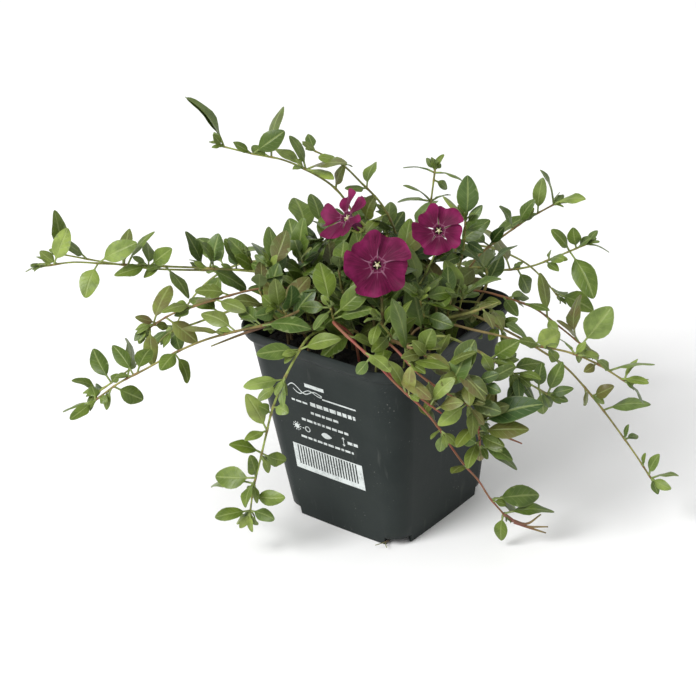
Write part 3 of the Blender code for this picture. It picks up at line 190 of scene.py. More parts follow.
# Leaves as they show in the photograph, by stem: the x and y in the picture where a leaf starts, those of its
# tip, and the width that shows. Then how light the leaf looks, from 0 to 9, which takes in the light and
# shade that fall on it and is painted into its green, and how bronzed it looks, from 0 to 9.
SEEN_LEAVES = {
    "runner_far_left": [(50, 262, 22, 270, 5, 6, 2), (52, 261, 70, 229, 19, 8, 0),
        (57, 262, 40, 252, 12, 5, 1), (98, 262, 86, 297, 21, 7, 0), (97, 262, 138, 244, 21, 8, 0),
        (125, 263, 127, 227, 14, 2, 3), (128, 265, 154, 231, 9, 5, 0), (149, 268, 116, 276, 14, 4, 0),
        (151, 266, 174, 250, 17, 6, 0), (165, 270, 192, 298, 8, 4, 1), (209, 266, 219, 235, 20, 4, 0),
        (205, 270, 247, 288, 14, 5, 0), (215, 268, 204, 246, 13, 6, 0)],
    "runner_far_left_twin": [(58, 250, 57, 211, 17, 5, 0), (86, 262, 63, 240, 13, 3, 0),
        (150, 264, 145, 240, 13, 4, 0), (205, 264, 187, 232, 13, 2, 0), (252, 264, 226, 240, 18, 4, 0),
        (124, 262, 118, 246, 9, 4, 0), (237, 266, 230, 250, 13, 2, 0)],
    "runner_brown_left": [(188, 306, 222, 297, 8, 6, 8), (216, 299, 247, 312, 14, 5, 2),
        (152, 321, 168, 284, 17, 6, 5), (151, 318, 137, 317, 9, 5, 8), (152, 325, 167, 327, 9, 6, 3),
        (151, 325, 139, 330, 8, 3, 6), (149, 329, 153, 365, 15, 6, 5), (165, 316, 198, 342, 19, 5, 6),
        (195, 306, 163, 311, 9, 5, 2), (232, 294, 196, 290, 14, 4, 2)],
    "runner_low_left": [(178, 352, 163, 370, 17, 3, 0), (176, 354, 187, 384, 12, 4, 1),
        (134, 374, 112, 345, 15, 2, 0), (128, 378, 125, 337, 12, 6, 0), (138, 372, 148, 347, 18, 4, 0),
        (113, 388, 141, 401, 19, 3, 0), (98, 398, 108, 402, 9, 3, 0), (95, 400, 90, 386, 12, 4, 0),
        (93, 402, 59, 411, 10, 5, 0), (93, 402, 72, 419, 13, 5, 0), (222, 333, 184, 328, 12, 6, 6),
        (236, 330, 200, 312, 17, 5, 2), (260, 324, 312, 327, 19, 3, 0), (262, 324, 240, 306, 14, 3, 0)],
    "runner_low_left_twin": [(109, 380, 91, 348, 18, 2, 0), (110, 381, 119, 374, 10, 5, 0),
        (104, 386, 92, 392, 13, 1, 0), (100, 390, 74, 380, 11, 6, 0), (178, 333, 180, 350, 14, 3, 0),
        (222, 318, 188, 297, 14, 4, 0), (236, 312, 257, 318, 16, 3, 1)],
    "runner_high_left": [(224, 148, 190, 97, 7, 4, 0), (253, 154, 284, 132, 20, 2, 0),
        (270, 157, 281, 103, 14, 3, 2), (304, 168, 274, 148, 12, 8, 0), (305, 169, 291, 137, 12, 7, 0),
        (306, 169, 347, 166, 10, 5, 5), (306, 170, 334, 180, 9, 7, 0), (337, 190, 343, 167, 7, 5, 5)],
    "shoot_leaning_back": [(313, 151, 308, 132, 11, 3, 0), (344, 165, 320, 158, 8, 6, 0),
        (366, 188, 376, 159, 12, 5, 0), (367, 190, 345, 189, 11, 5, 0), (387, 213, 366, 234, 8, 5, 2),
        (390, 218, 384, 234, 7, 4, 0), (313, 151, 303, 143, 7, 6, 2), (344, 166, 352, 164, 5, 5, 0)],
    "runner_front_left": [(298, 351, 257, 354, 18, 5, 0), (300, 351, 341, 339, 15, 6, 1),
        (282, 378, 244, 386, 16, 8, 0), (279, 385, 256, 401, 13, 7, 0), (287, 376, 284, 407, 8, 7, 0),
        (262, 429, 247, 394, 18, 8, 2), (268, 412, 260, 405, 12, 6, 0), (272, 404, 288, 412, 13, 7, 0),
        (266, 431, 246, 440, 8, 6, 0), (261, 452, 231, 442, 12, 5, 0), (261, 454, 287, 462, 15, 6, 0),
        (256, 477, 251, 455, 13, 4, 0), (254, 478, 213, 478, 23, 5, 0), (253, 484, 207, 486, 17, 6, 0),
        (252, 480, 246, 506, 9, 5, 0), (252, 496, 285, 496, 16, 6, 0), (250, 512, 215, 516, 13, 6, 0),
        (250, 513, 275, 518, 12, 5, 0)],
    "runner_front_right": [(441, 430, 459, 447, 8, 5, 2), (440, 430, 430, 438, 5, 5, 2),
        (491, 499, 543, 496, 21, 3, 0), (503, 513, 553, 508, 13, 4, 0), (493, 501, 521, 512, 11, 5, 1),
        (504, 514, 502, 543, 14, 4, 0), (370, 357, 357, 375, 12, 4, 0), (368, 354, 390, 372, 13, 6, 1),
        (347, 337, 376, 348, 12, 5, 1), (408, 396, 409, 367, 14, 8, 8), (404, 391, 388, 360, 12, 6, 2),
        (437, 425, 420, 404, 9, 4, 3), (466, 466, 450, 470, 6, 4, 3)],
    "runner_front_corner": [(468, 404, 437, 424, 16, 7, 0), (479, 429, 494, 392, 15, 5, 6),
        (479, 431, 527, 427, 17, 3, 5), (479, 435, 503, 446, 14, 2, 2), (480, 446, 512, 460, 13, 6, 0),
        (480, 446, 519, 468, 13, 2, 0), (480, 446, 461, 436, 16, 4, 0), (480, 446, 480, 462, 12, 7, 9),
        (469, 405, 485, 425, 10, 7, 8), (428, 380, 432, 398, 11, 6, 5), (449, 392, 470, 347, 22, 4, 0),
        (408, 358, 391, 299, 17, 5, 0), (408, 360, 448, 367, 11, 5, 1), (440, 388, 452, 376, 12, 6, 2),
        (448, 392, 482, 400, 13, 2, 4)],
    "runner_far_right": [(532, 345, 561, 332, 24, 9, 0), (532, 344, 505, 324, 10, 5, 0),
        (592, 396, 611, 387, 14, 4, 6), (590, 396, 603, 403, 8, 6, 2), (603, 409, 648, 403, 12, 7, 0),
        (625, 438, 641, 437, 6, 5, 0), (626, 439, 627, 424, 5, 5, 0), (643, 464, 643, 452, 4, 5, 0),
        (650, 476, 656, 453, 8, 6, 0), (651, 478, 668, 488, 10, 7, 0), (651, 478, 675, 474, 4, 5, 0),
        (586, 388, 588, 406, 8, 5, 4), (560, 362, 548, 350, 12, 6, 0)],
    "runner_right_twin": [(612, 369, 598, 360, 9, 7, 1), (613, 369, 652, 363, 5, 6, 0),
        (628, 380, 638, 358, 7, 6, 0), (622, 381, 646, 382, 7, 7, 0), (625, 382, 648, 404, 5, 4, 0),
        (599, 364, 589, 346, 9, 5, 6), (598, 363, 583, 371, 10, 5, 6), (575, 354, 561, 338, 7, 5, 0),
        (540, 348, 518, 340, 10, 4, 1), (577, 354, 584, 342, 7, 6, 0)],
    "runner_mid_right": [(490, 306, 502, 330, 9, 6, 5), (478, 303, 470, 322, 10, 6, 4),
        (493, 311, 477, 324, 8, 6, 5), (478, 303, 499, 302, 8, 5, 4), (500, 326, 488, 340, 10, 4, 1),
        (500, 326, 517, 319, 10, 3, 0)],
    "runner_arched_right": [(505, 299, 531, 297, 10, 5, 0), (525, 305, 547, 309, 9, 4, 0),
        (502, 299, 516, 317, 13, 3, 0), (576, 339, 580, 293, 14, 4, 6), (582, 344, 609, 308, 29, 9, 0),
        (580, 342, 556, 321, 9, 5, 7), (546, 318, 540, 273, 16, 5, 3), (548, 319, 556, 334, 10, 6, 0),
        (582, 345, 577, 362, 8, 5, 3)],
    "runner_upper_right": [(547, 259, 557, 272, 9, 5, 0), (548, 258, 561, 261, 8, 5, 0),
        (570, 252, 551, 231, 12, 4, 0), (575, 249, 571, 228, 14, 4, 0), (583, 245, 589, 235, 9, 4, 0),
        (585, 244, 607, 251, 6, 4, 0), (571, 252, 591, 298, 24, 4, 0), (517, 269, 532, 293, 16, 3, 0),
        (509, 269, 485, 226, 13, 5, 5), (476, 268, 457, 284, 18, 3, 3), (548, 258, 552, 249, 4, 5, 0)],
    "runner_rising_right": [(554, 203, 541, 170, 6, 4, 0), (537, 211, 540, 180, 14, 6, 1),
        (521, 227, 532, 201, 13, 5, 0), (514, 229, 499, 207, 8, 5, 0), (557, 203, 582, 199, 8, 7, 0),
        (555, 203, 560, 191, 5, 6, 0), (489, 246, 470, 227, 14, 2, 0), (490, 246, 503, 228, 12, 1, 0),
        (556, 203, 563, 207, 4, 6, 0)],
    "runner_right_drooping": [(512, 366, 547, 362, 13, 3, 0), (490, 360, 517, 341, 19, 3, 0),
        (488, 372, 514, 368, 14, 4, 0), (516, 374, 518, 399, 12, 2, 0), (537, 389, 540, 363, 14, 2, 0),
        (550, 394, 560, 362, 15, 4, 0), (550, 394, 573, 388, 11, 2, 0), (536, 390, 546, 416, 16, 4, 0),
        (500, 384, 538, 403, 16, 1, 0), (474, 352, 452, 378, 16, 4, 0)],
    "shoot_thin": [(434, 172, 404, 165, 6, 5, 0), (434, 170, 431, 162, 5, 5, 0),
        (436, 170, 441, 163, 6, 5, 0), (435, 179, 449, 188, 9, 5, 0), (436, 172, 463, 182, 6, 5, 0),
        (431, 199, 404, 184, 5, 5, 0), (430, 201, 398, 199, 6, 5, 0), (431, 200, 452, 192, 4, 5, 0)],
    "shoot_tall_right": [(465, 221, 467, 176, 22, 3, 0), (466, 224, 482, 205, 11, 4, 0),
        (465, 221, 443, 196, 9, 7, 2), (466, 230, 484, 224, 9, 3, 0), (464, 250, 452, 240, 12, 1, 0),
        (465, 242, 481, 252, 11, 1, 0), (462, 256, 446, 262, 12, 2, 0)],
    "shoot_left_tall": [(272, 272, 269, 226, 18, 6, 0), (273, 270, 287, 230, 20, 3, 6),
        (274, 272, 300, 288, 11, 6, 0), (277, 276, 250, 262, 14, 4, 0), (271, 268, 252, 240, 13, 4, 0)],
    "shoot_left_front": [(277, 313, 276, 280, 18, 4, 2), (283, 310, 309, 276, 20, 4, 7),
        (277, 309, 262, 296, 13, 3, 0), (277, 309, 256, 316, 14, 3, 0)],
    "shoot_left_back": [(250, 260, 232, 246, 14, 3, 0), (252, 263, 228, 238, 15, 4, 0),
        (258, 272, 236, 256, 13, 4, 0)],
    "shoot_centre": [(331, 308, 320, 260, 24, 4, 0), (334, 314, 370, 281, 21, 4, 0),
        (336, 318, 373, 309, 15, 4, 0), (332, 312, 314, 330, 11, 5, 1), (331, 308, 300, 306, 13, 3, 0)],
    "shoot_centre_back": [(300, 264, 303, 219, 19, 3, 0), (299, 270, 338, 256, 12, 5, 0),
        (301, 268, 322, 243, 13, 2, 0), (303, 276, 286, 262, 13, 3, 0)],
    "shoot_front": [(380, 324, 374, 308, 9, 6, 1), (384, 326, 399, 303, 15, 3, 0),
        (380, 322, 372, 345, 12, 5, 1), (388, 336, 372, 352, 13, 5, 1), (394, 348, 408, 300, 13, 4, 1)],
    "shoot_right_front": [(423, 314, 452, 326, 17, 2, 0), (420, 301, 442, 275, 9, 5, 0),
        (420, 300, 456, 291, 13, 3, 0), (421, 305, 458, 311, 9, 5, 0), (425, 328, 447, 352, 17, 3, 0),
        (426, 330, 418, 352, 15, 3, 0), (420, 300, 396, 282, 11, 3, 0)],
    "shoot_right": [(461, 318, 449, 346, 13, 4, 1), (462, 312, 436, 330, 14, 4, 0),
        (461, 315, 484, 338, 14, 4, 1), (463, 300, 480, 292, 8, 5, 0), (463, 298, 446, 284, 10, 3, 0)],
    "shoot_middle_back": [(402, 262, 418, 256, 12, 2, 0), (403, 258, 393, 244, 12, 2, 0),
        (402, 272, 436, 262, 13, 2, 0), (402, 274, 424, 290, 13, 2, 0), (403, 262, 444, 246, 14, 2, 0)],
}
# Slim stems and more leaves that only the fine plant has, in the same form. Most hang over the rim at the
# front.
SPARE_STEMS = {
    "spare_over_rim": [(392, 340, -42), (404, 346, -48), (424, 354, -54), (446, 365, -58), (468, 377, -60),
        (484, 384, -60)],
    "spare_red": [(388, 372, -63), (404, 384, -66), (418, 396, -68), (430, 404, -68), (441, 414, -67)],
    "spare_high_right": [(446, 318, -22), (470, 312, -26), (486, 308, -28), (500, 302, -28)],
    "spare_bud": [(478, 424, -59), (492, 430, -58), (505, 437, -56), (516, 442, -55), (522, 444, -55)],
    "spare_stub": [(270, 324, -20), (240, 335, -24), (226, 341, -26), (211, 346, -28)],
    "fibre_long": [(389, 540, -38), (384, 542, -41), (381, 545, -42), (375, 545, -43)],
    "fibre_short": [(388, 541, -38), (385, 543, -41), (385, 547, -43), (387, 548, -44)],
    "spare_tuft_long": [(504, 514, -49), (516, 524, -49), (530, 526, -49), (548, 527, -49)],
    "spare_tuft_low": [(514, 522, -49), (526, 527, -49), (538, 528, -49), (546, 533, -49)],
    "spare_tuft_high": [(512, 520, -49), (522, 526, -49), (531, 521, -49), (541, 514, -49)],
}
SPARE_LEAVES = {
    "spare_over_rim": [(424, 354, 432, 330, 19, 3, 1), (440, 360, 449, 332, 12, 4, 3),
        (424, 354, 401, 358, 12, 5, 3), (420, 354, 450, 371, 15, 4, 6), (452, 367, 484, 398, 18, 3, 7),
        (482, 384, 516, 366, 15, 4, 1), (430, 357, 413, 341, 12, 3, 2), (462, 374, 440, 384, 13, 4, 4),
        (484, 384, 500, 392, 12, 2, 0), (446, 365, 473, 352, 14, 3, 2), (470, 378, 468, 404, 15, 4, 5),
        (404, 346, 420, 372, 13, 4, 4), (450, 374, 473, 340, 23, 2, 1), (456, 376, 486, 394, 17, 1, 3),
        (412, 360, 452, 375, 16, 3, 6), (404, 354, 440, 348, 12, 4, 3), (476, 382, 497, 374, 12, 2, 1)],
    "spare_red": [(392, 376, 431, 398, 17, 7, 9), (430, 404, 453, 378, 14, 6, 1),
        (418, 396, 440, 404, 9, 5, 6), (436, 410, 462, 402, 12, 4, 5)],
    "spare_high_right": [(474, 311, 499, 303, 10, 6, 4), (484, 308, 492, 328, 11, 5, 5)],
    "runner_high_left": [(225, 147, 191, 98, 11, 4, 0)],
    "runner_front_corner": [(484, 424, 539, 402, 26, 0, 0), (482, 430, 496, 392, 16, 3, 6),
        (452, 394, 484, 404, 13, 1, 4), (479, 434, 500, 450, 15, 2, 1), (470, 400, 500, 412, 15, 1, 2),
        (470, 408, 472, 436, 13, 4, 2), (478, 424, 455, 446, 12, 4, 3), (480, 440, 466, 467, 13, 4, 2),
        (446, 392, 424, 412, 11, 5, 3), (476, 418, 508, 404, 13, 3, 3)],
    "runner_right_drooping": [(498, 364, 519, 354, 12, 3, 0), (480, 352, 492, 372, 12, 4, 1),
        (510, 370, 516, 402, 12, 1, 0), (536, 390, 556, 408, 14, 2, 0), (522, 380, 507, 398, 12, 1, 0),
        (515, 373, 538, 378, 11, 3, 0)],
    "shoot_right_front": [(426, 322, 453, 326, 13, 2, 0), (424, 330, 446, 344, 13, 3, 1)],
    "shoot_front": [(392, 346, 376, 326, 14, 2, 0), (394, 350, 420, 338, 13, 3, 1)],
}
# How red and how old each stem looks, from 0 to 1. The others are green and young.
STEM_HUES = {
    "fibre_long": (0, 1.0), "fibre_short": (0, 1.0), "spare_red": (1.0, 0.4), "spare_bud": (1.0, 0.7),
    "spare_stub": (0.3, 1.0), "spare_tuft_long": (0.5, 1.0), "spare_tuft_low": (0.5, 1.0),
    "spare_tuft_high": (0.4, 1.0), "spare_over_rim": (0.5, 0.5), "runner_front_right": (1.0, 0.35),
    "runner_front_corner": (1.0, 0.35), "runner_brown_left": (0.6, 0.9), "runner_arched_right": (0.8, 0.5),
    "runner_low_left": (0.35, 0.6), "runner_far_right": (0.35, 0.5), "runner_right_twin": (0.4, 0.6),
    "runner_rising_right": (0.55, 0.4),
}

# The photograph's camera, fitted to the seen corners of the pot: its turn, height angle and roll, its
# distance from its aim, and the picture's middle and the camera's focal length, both in the picture's dots
CAMERA_TURN = math.radians(40.361)
CAMERA_HEIGHT_ANGLE = math.radians(27.313)
CAMERA_ROLL = math.radians(-3.664)
CAMERA_DISTANCE = 950.54 * MM
CAMERA_AIM = np.array([-17.36, 0, 71.26]) * MM
PICTURE_MIDDLE = 348
FOCAL_DOTS = 2156.46
SENSOR_WIDTH = 36


# The plan of the plant, the same as in the solids

def unit(vector):
    return vector / np.linalg.norm(vector)


def turned(sideways, away, up):
    """A place that was drawn from in front of the pot's corner, in the pot's own axes."""
    c, s = math.cos(VIEW_TURN), math.sin(VIEW_TURN)
    return np.array([c * sideways - s * away, s * sideways + c * away, up])


def view_axes(turn, height_angle, roll):
    """The ways to the right, up and towards the eye of a camera that looks down from the height angle."""
    level = np.array([math.cos(turn), math.sin(turn), 0])
    ahead = np.array([-math.sin(turn), math.cos(turn), 0])
    near = np.array([0, 0, math.sin(height_angle)]) - math.cos(height_angle) * ahead
    upright = np.cross(near, level)
    c, s = math.cos(roll), math.sin(roll)
    return c * level + s * upright, c * upright - s * level, near


# The camera's ways to the right, up and towards the eye, and its place. Then the same ways in the plan
CAMERA_RIGHT, CAMERA_UP, CAMERA_NEAR = view_axes(CAMERA_TURN, CAMERA_HEIGHT_ANGLE, CAMERA_ROLL)
CAMERA_EYE = CAMERA_AIM + CAMERA_NEAR * CAMERA_DISTANCE
SEEN_RIGHT, SEEN_UP, SEEN_NEAR = view_axes(VIEW_TURN, VIEW_HEIGHT_ANGLE, VIEW_ROLL)
UP = np.array([0, 0, 1.0])


def to_half(length):
    """A length in millimetres, to the nearest half."""
    return round(length * 2) / 2


def plan_place(x, y, away):
    """The place in the plan, in millimetres, that shows at x and y in the picture and lies so far away."""
    x, y = (x - PICTURE_MIDDLE), (y - PICTURE_MIDDLE)
    sight = (CAMERA_RIGHT * x - CAMERA_UP * y) / FOCAL_DOTS - CAMERA_NEAR
    backwards = turned(0, 1, 0)
    place = CAMERA_EYE + sight * (away * MM - CAMERA_EYE @ backwards) / (sight @ backwards)
    return to_half(place @ turned(1, 0, 0) / MM), to_half(place @ backwards / MM), to_half(place[2] / MM)


def in_picture(places):
    """Where places show in the picture, and how far each is from the camera along its line of sight."""
    offsets = places - CAMERA_AIM - CAMERA_NEAR * CAMERA_DISTANCE
    depths = -(offsets @ CAMERA_NEAR)
    dots = np.stack([offsets @ CAMERA_RIGHT, -(offsets @ CAMERA_UP)], axis=-1) * FOCAL_DOTS / depths[:, None]
    return PICTURE_MIDDLE + dots, depths


def along_line(line):
    """How far each place of a line is from its start, along it."""
    return np.concatenate([[0], np.cumsum(np.linalg.norm(np.diff(line, axis=0), axis=1))])


def places_at(line, along, distances):
    """The places on a line at these distances from its start, where along says how far its own places
    are."""
    return np.stack([np.interp(distances, along, line[:, k]) for k in range(3)], axis=1)


def smooth_line(points, step):
    """Evenly spaced places along the smooth curve through the points: on each stretch a cubic in t,
    whose slope at each point is half the step from the point before to the point after."""
    points = np.asarray(points, float)
    ends = np.vstack([2 * points[0] - points[1], points, 2 * points[-1] - points[-2]])
    t = np.linspace(0, 1, 24, endpoint=False)[:, None]
    pieces = []
    for a, b, c, d in zip(ends, ends[1:], ends[2:], ends[3:]):
        bends = (2 * a - 5 * b + 4 * c - d) * t**2 + (3 * b - a - 3 * c + d) * t**3
        pieces.append(0.5 * (2 * b + (c - a) * t + bends))
    line = np.vstack(pieces + [points[-1:]])
    along = along_line(line)
    count = max(2, round(along[-1] / step))
    return places_at(line, along, np.linspace(0, along[-1], count + 1))


def first_routes():
    """The stems as drawn, from just above the soil."""
    drawn = {name: [(*root, ROOT_HEIGHT)] + [plan_place(*place) for place in seen]
             for name, (root, seen, _, _) in SEEN_STEMS.items()}
    drawn |= {name: stem[0] for name, stem in BACK_STEMS.items()}
    for bloom, (route, middle, facing, size, *_) in FLOWER_SHOOTS.items():
        facing = unit(np.array(facing, float))
        seat = np.array(middle, float) - facing * (TUBE_LENGTH * size + CALYX_HEIGHT) / MM
        drawn["stalk_of_" + bloom] = route + [tuple(seat - facing * 5), tuple(seat)]
    routes = {}
    for name, places in drawn.items():
        line = np.array([turned(*place) * MM for place in places])
        collar = np.array([*line[0][:2], COLLAR_HEIGHT])
        routes[name] = smooth_line(np.vstack([collar, line]), SAMPLE_STEP)
    return routes


def rounded_square(half, corner, height, steps):
    """A square with round corners, as a ring of points: each corner is a quarter circle of so many
    steps."""
    angle = math.pi / 2 * (np.arange(4)[:, None] + np.arange(steps + 1)[None] / steps - 1)
    sx = np.array([1, 1, -1, -1])[:, None]
    sy = np.array([-1, 1, 1, -1])[:, None]
    x = sx * (half - corner) + corner * np.cos(angle)
    y = sy * (half - corner) + corner * np.sin(angle)
    return np.stack([x, y, np.full_like(x, height)], axis=-1).reshape(-1, 3)


def pot_outline(height):
    """Half the pot's outer width, and its corner radius, at a height below the lip."""
    share = height / (POT_HEIGHT - LIP_HEIGHT)
    return (POT_FOOT_HALF + (POT_NECK_HALF - POT_FOOT_HALF) * share,
            FOOT_CORNER + (NECK_CORNER - FOOT_CORNER) * share)


def pushes(gap, room, allowed=True):
    """How far points are pushed off others, from the gaps between each two and the room that each needs."""
    far = np.linalg.norm(gap, axis=2)
    share = np.where((far < room) & allowed, (room - far) / np.maximum(far, 1e-6), 0)
    return 0.3 * (share[:, :, None] * gap).sum(axis=1)


def ease_apart(routes):
    """Stems that would cross are pushed apart a little at a time, and off the pot's lip. Roots, and the
    ends of the flower stalks, stay."""
    names = sorted(routes)
    start = np.cumsum([0] + [len(routes[n]) for n in names])
    drawn = np.vstack([routes[n] for n in names])
    points = drawn
    owner = np.repeat(np.arange(len(names)), np.diff(start))
    loose = np.ones(len(points), bool)
    for k, name in enumerate(names):
        loose[start[k]:start[k] + 2] = False
        loose[start[k + 1] - (4 if name.startswith("stalk_of_") else 0):start[k + 1]] = False
    inner = loose.copy()
    inner[start[1:] - 1] = False
    inner = np.flatnonzero(inner)
    lip = rounded_square(POT_RIM_HALF - POT_WALL / 2, RIM_CORNER, POT_HEIGHT - 0.8 * MM, 8)
    lip = smooth_line(np.vstack([lip, lip[:1]]), 2 * MM)
    for _ in range(160):
        others = owner[:, None] != owner[None]
        move = pushes(points[:, None] - points[None], 2 * STEM_RADIUS + 1.6 * MM, others)
        move = move + pushes(points[:, None] - lip[None], STEM_RADIUS + 2.4 * MM)
        points = points + np.where(loose[:, None], np.clip(move, -0.6 * MM, 0.6 * MM), 0)
        offset = points - drawn
        eased = 0.25 * offset[inner - 1] + 0.5 * offset[inner] + 0.25 * offset[inner + 1]
        points[inner] = drawn[inner] + eased
    return {n: points[start[k]:start[k + 1]] for k, n in enumerate(names)}


def place_on(route, distance):
    """The place on a route this far from its root, and the way that it runs there."""
    along = along_line(route)
    distance = min(distance, along[-1])
    near = (distance, min(distance + 2 * MM, along[-1]), max(distance - 2 * MM, 0))
    place, ahead, behind = places_at(route, along, near)
    return place, unit(ahead - behind)


def jitter(draw, spread):
    """A small random step to any side."""
    return np.array([draw.gauss(0, spread) for _ in range(3)])


def leaf_pose(name, pair, side, attempt, place, way, length, share):
    """How one leaf stands: its length, its directions along and out of the blade, its fold and its droop.
    Later attempts turn it further round the stem."""
    draw = random.Random(f"{name} {pair} {side} {attempt}")
    across = np.cross(way, UP)
    across = unit(across) if np.linalg.norm(across) > 0.25 else unit(np.cross(way, turned(0, 1, 0)))
    lift = unit(np.cross(across, way))
    roll = draw.uniform(-22, 28) + (pair % 2) * (38 + 50 * abs(way[2])) + side * draw.uniform(0, 14)
    roll = math.radians(roll) + math.radians(attempt * 23) * (1 if attempt % 2 else -1)
    open_angle = math.radians(draw.uniform(46, 74) - 16 * share)
    out = side * (math.cos(roll) * across + math.sin(roll) * lift)
    along = unit(math.cos(open_angle) * way + math.sin(open_angle) * out + 0.18 * UP)
    face = UP + 0.55 * turned(0, -1, 0) * draw.uniform(-0.1, 1.2) + jitter(draw, 0.3)
    face = unit(face - (face @ along) * along)
    long = length * (1 - TIP_SHRINK * share**2) * draw.uniform(0.82, 1.12) * (0.9 if attempt > 9 else 1)
    fold = math.radians(draw.uniform(6, 20))
    droop = draw.uniform(0.02, 0.2)
    return place, along, face, long, long * LEAF_SHARE * draw.uniform(0.88, 1.1), fold, droop


def drawn_pose(name, number, row, attempt, place):
    """How a seen leaf stands. Its tip is where the photograph shows it, and it is turned about its own
    length until it looks as wide as it does there. Later attempts move its tip nearer to the eye or further
    away."""
    draw = random.Random(f"{name} drawn {number}")
    _, reach_right, reach_up, seen_width, lean = row
    reach = reach_right * SEEN_RIGHT + reach_up * SEEN_UP + (lean + DRAWN_LEANS[attempt]) * SEEN_NEAR
    long = np.linalg.norm(reach * MM)
    along = reach * MM / long
    wide = max(seen_width * MM, 0.4 * long)
    facing = unit(SEEN_NEAR - (SEEN_NEAR @ along) * along)
    tilt = math.acos(min(1, seen_width * MM / wide)) + math.radians(draw.uniform(0, 14))
    aside = np.cross(along, facing)
    ways = [math.cos(tilt) * facing + sign * math.sin(tilt) * aside for sign in (-1, 1)]
    face = max(ways, key=lambda way: way[2])
    return place, along, face, long, wide, math.radians(draw.uniform(4, 14)), draw.uniform(0, 0.08)


def hides_bloom(pose):
    """Whether a leaf would hang before a bloom's face in the photograph."""
    for _, middle, _, size, *_ in FLOWER_SHOOTS.values():
        for u, v in ((0.5, 0), (0.54, -1), (0.54, 1), (0.82, 0), (1.0, 0)):
            offset = blade_place(pose, u, v) - turned(*middle) * MM
            ahead = offset @ SEEN_NEAR
            aside = np.linalg.norm(offset - ahead * SEEN_NEAR)
            if ahead > -3 * MM and aside < 0.95 * COROLLA_RADIUS * size:
                return True
    return False


def blade_place(pose, u, v):
    """Where the solid's blade lies, from u 0 at the stem to 1 at the tip, and v -1 to 1 across its
    width."""
    place, along, face, long, wide, fold, droop = pose
    across = np.cross(face, along)
    blade = max(0.0, (u - PETIOLE_SHARE) / (1 - PETIOLE_SHARE))
    half = PETIOLE_HALF_WIDTH if u <= PETIOLE_SHARE else wide / 2 * math.sin(math.pi * blade**0.8) ** 0.8
    lift = abs(v) * half * math.tan(fold) - droop * long * u * u + 0.06 * long * math.sin(math.pi * u)
    return place + along * long * u + across * v * half + face * lift


def stem_leaves(name, route):
    """Where a stem's other leaf pairs stand: the pair's number, its distance along the route, its share of
    that, and the leaves' length."""
    bloom = name.removeprefix("stalk_of_")
    *_, length, pairs = SEEN_STEMS.get(name) or BACK_STEMS.get(name) or FLOWER_SHOOTS[bloom]
    end = along_line(route)[-1] - (26 if bloom in FLOWER_SHOOTS else 2) * MM
    first = 11 * MM
    steps = max(1, pairs - 1)
    for pair in range(pairs):
        share = pair / steps
        shift = 0 if pair == pairs - 1 else random.Random(f"{name} {pair}").uniform(-0.15, 0.15)
        yield pair, first + (end - first) * (share + shift / steps), share, length * MM


def drawn_rows(name, route):
    """How the leaves seen on a stem lie, in millimetres: a leaf's distance along the stem, how far its tip
    reaches right and up in the picture, the width that shows, and how far the tip leans towards the eye.
    A leaf starts where the stem passes nearest to the place seen, and leans so that it isn't too short.
    Each comes after its number, which for a solid leaf counts the solid ones, and before whether it is too
    thin for a solid, its lightness and its bronze."""
    along = along_line(route)
    distances = np.linspace(0, along[-1], int(along[-1] / (0.5 * MM)))
    dots, depths = in_picture(places_at(route, along, distances))
    solid = 0
    own = SEEN_LEAVES.get(name, [])
    rows = own + SPARE_LEAVES.get(name, [])
    for number, (x, y, tip_x, tip_y, seen_width, light, bronze) in enumerate(rows):
        start = np.linalg.norm(dots - (x, y), axis=1).argmin()
        dot = depths[start] / FOCAL_DOTS / MM
        reach_right, reach_up = (tip_x - dots[start][0]) * dot, (dots[start][1] - tip_y) * dot
        flat = math.hypot(reach_right, reach_up)
        length = flat * 1.08 if flat > LONG_LEAF else min(LONG_LEAF, flat * 1.3)
        lean = math.sqrt(max(0, length**2 - flat**2))
        towards = 1 if random.Random(f"{name} {number}").random() < 0.65 else -1
        row = distances[start] / MM, reach_right, reach_up, seen_width * dot, towards * lean
        thin = seen_width * dot < THINNEST_LEAF or number >= len(own)
        yield number if thin else solid, [to_half(length) for length in row], thin, light, bronze
        solid += not thin


def pose_in_solid(poses, corners):
    """Of a leaf's poses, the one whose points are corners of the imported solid, or none where it has no such
    leaf."""
    found, nearest = None, 0.7 * MM
    for pose in poses:
        broadest = 0.45 if pose[3] > SMALL_LEAF else 0.58
        probes = [blade_place(pose, u, v) for u, v in ((1.0, 0), (broadest, -1), (broadest, 1))]
        gap = max(np.linalg.norm(corners - probe, axis=1).min() for probe in probes)
        if gap < nearest:
            found, nearest = pose, gap
    return found


def solid_leaves(name, route, youth):
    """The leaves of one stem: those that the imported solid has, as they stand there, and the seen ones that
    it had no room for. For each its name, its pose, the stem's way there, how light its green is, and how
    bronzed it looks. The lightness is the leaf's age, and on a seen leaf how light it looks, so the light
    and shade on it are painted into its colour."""
    spare = name in SPARE_STEMS
    corners = None if spare else np.array([corner.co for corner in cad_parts[name].data.vertices])
    for number, row, thin, light, bronze in drawn_rows(name, route):
        place, way = place_on(route, row[0] * MM)
        poses = [drawn_pose(name, number, row, attempt, place) for attempt in range(len(DRAWN_LEANS))]
        pose = None if thin else pose_in_solid(poses, corners)
        key = f"{name} {'thin' if thin else 'drawn'} {number}"
        # A seen leaf's lightness is how light it looks where it hangs: painted light and shade in its green.
        yield key, poses[0] if pose is None else pose, way, light / 9, bronze / 9
    for pair, distance, share, length in () if spare else stem_leaves(name, route):
        place, way = place_on(route, distance)
        for side in (-1, 1):
            draw = random.Random(f"look {name} {pair} {side}")
            poses = [leaf_pose(name, pair, side, k, place, way, length, share) for k in range(TRIES)]
            pose = pose_in_solid(poses, corners)
            if pose is not None:
                bronze = draw.uniform(0.3, 0.8) if draw.random() < 0.12 else 0
                yield f"{name} {pair} {side}", pose, way, youth + 0.25 * share + draw.gauss(0, 0.12), bronze


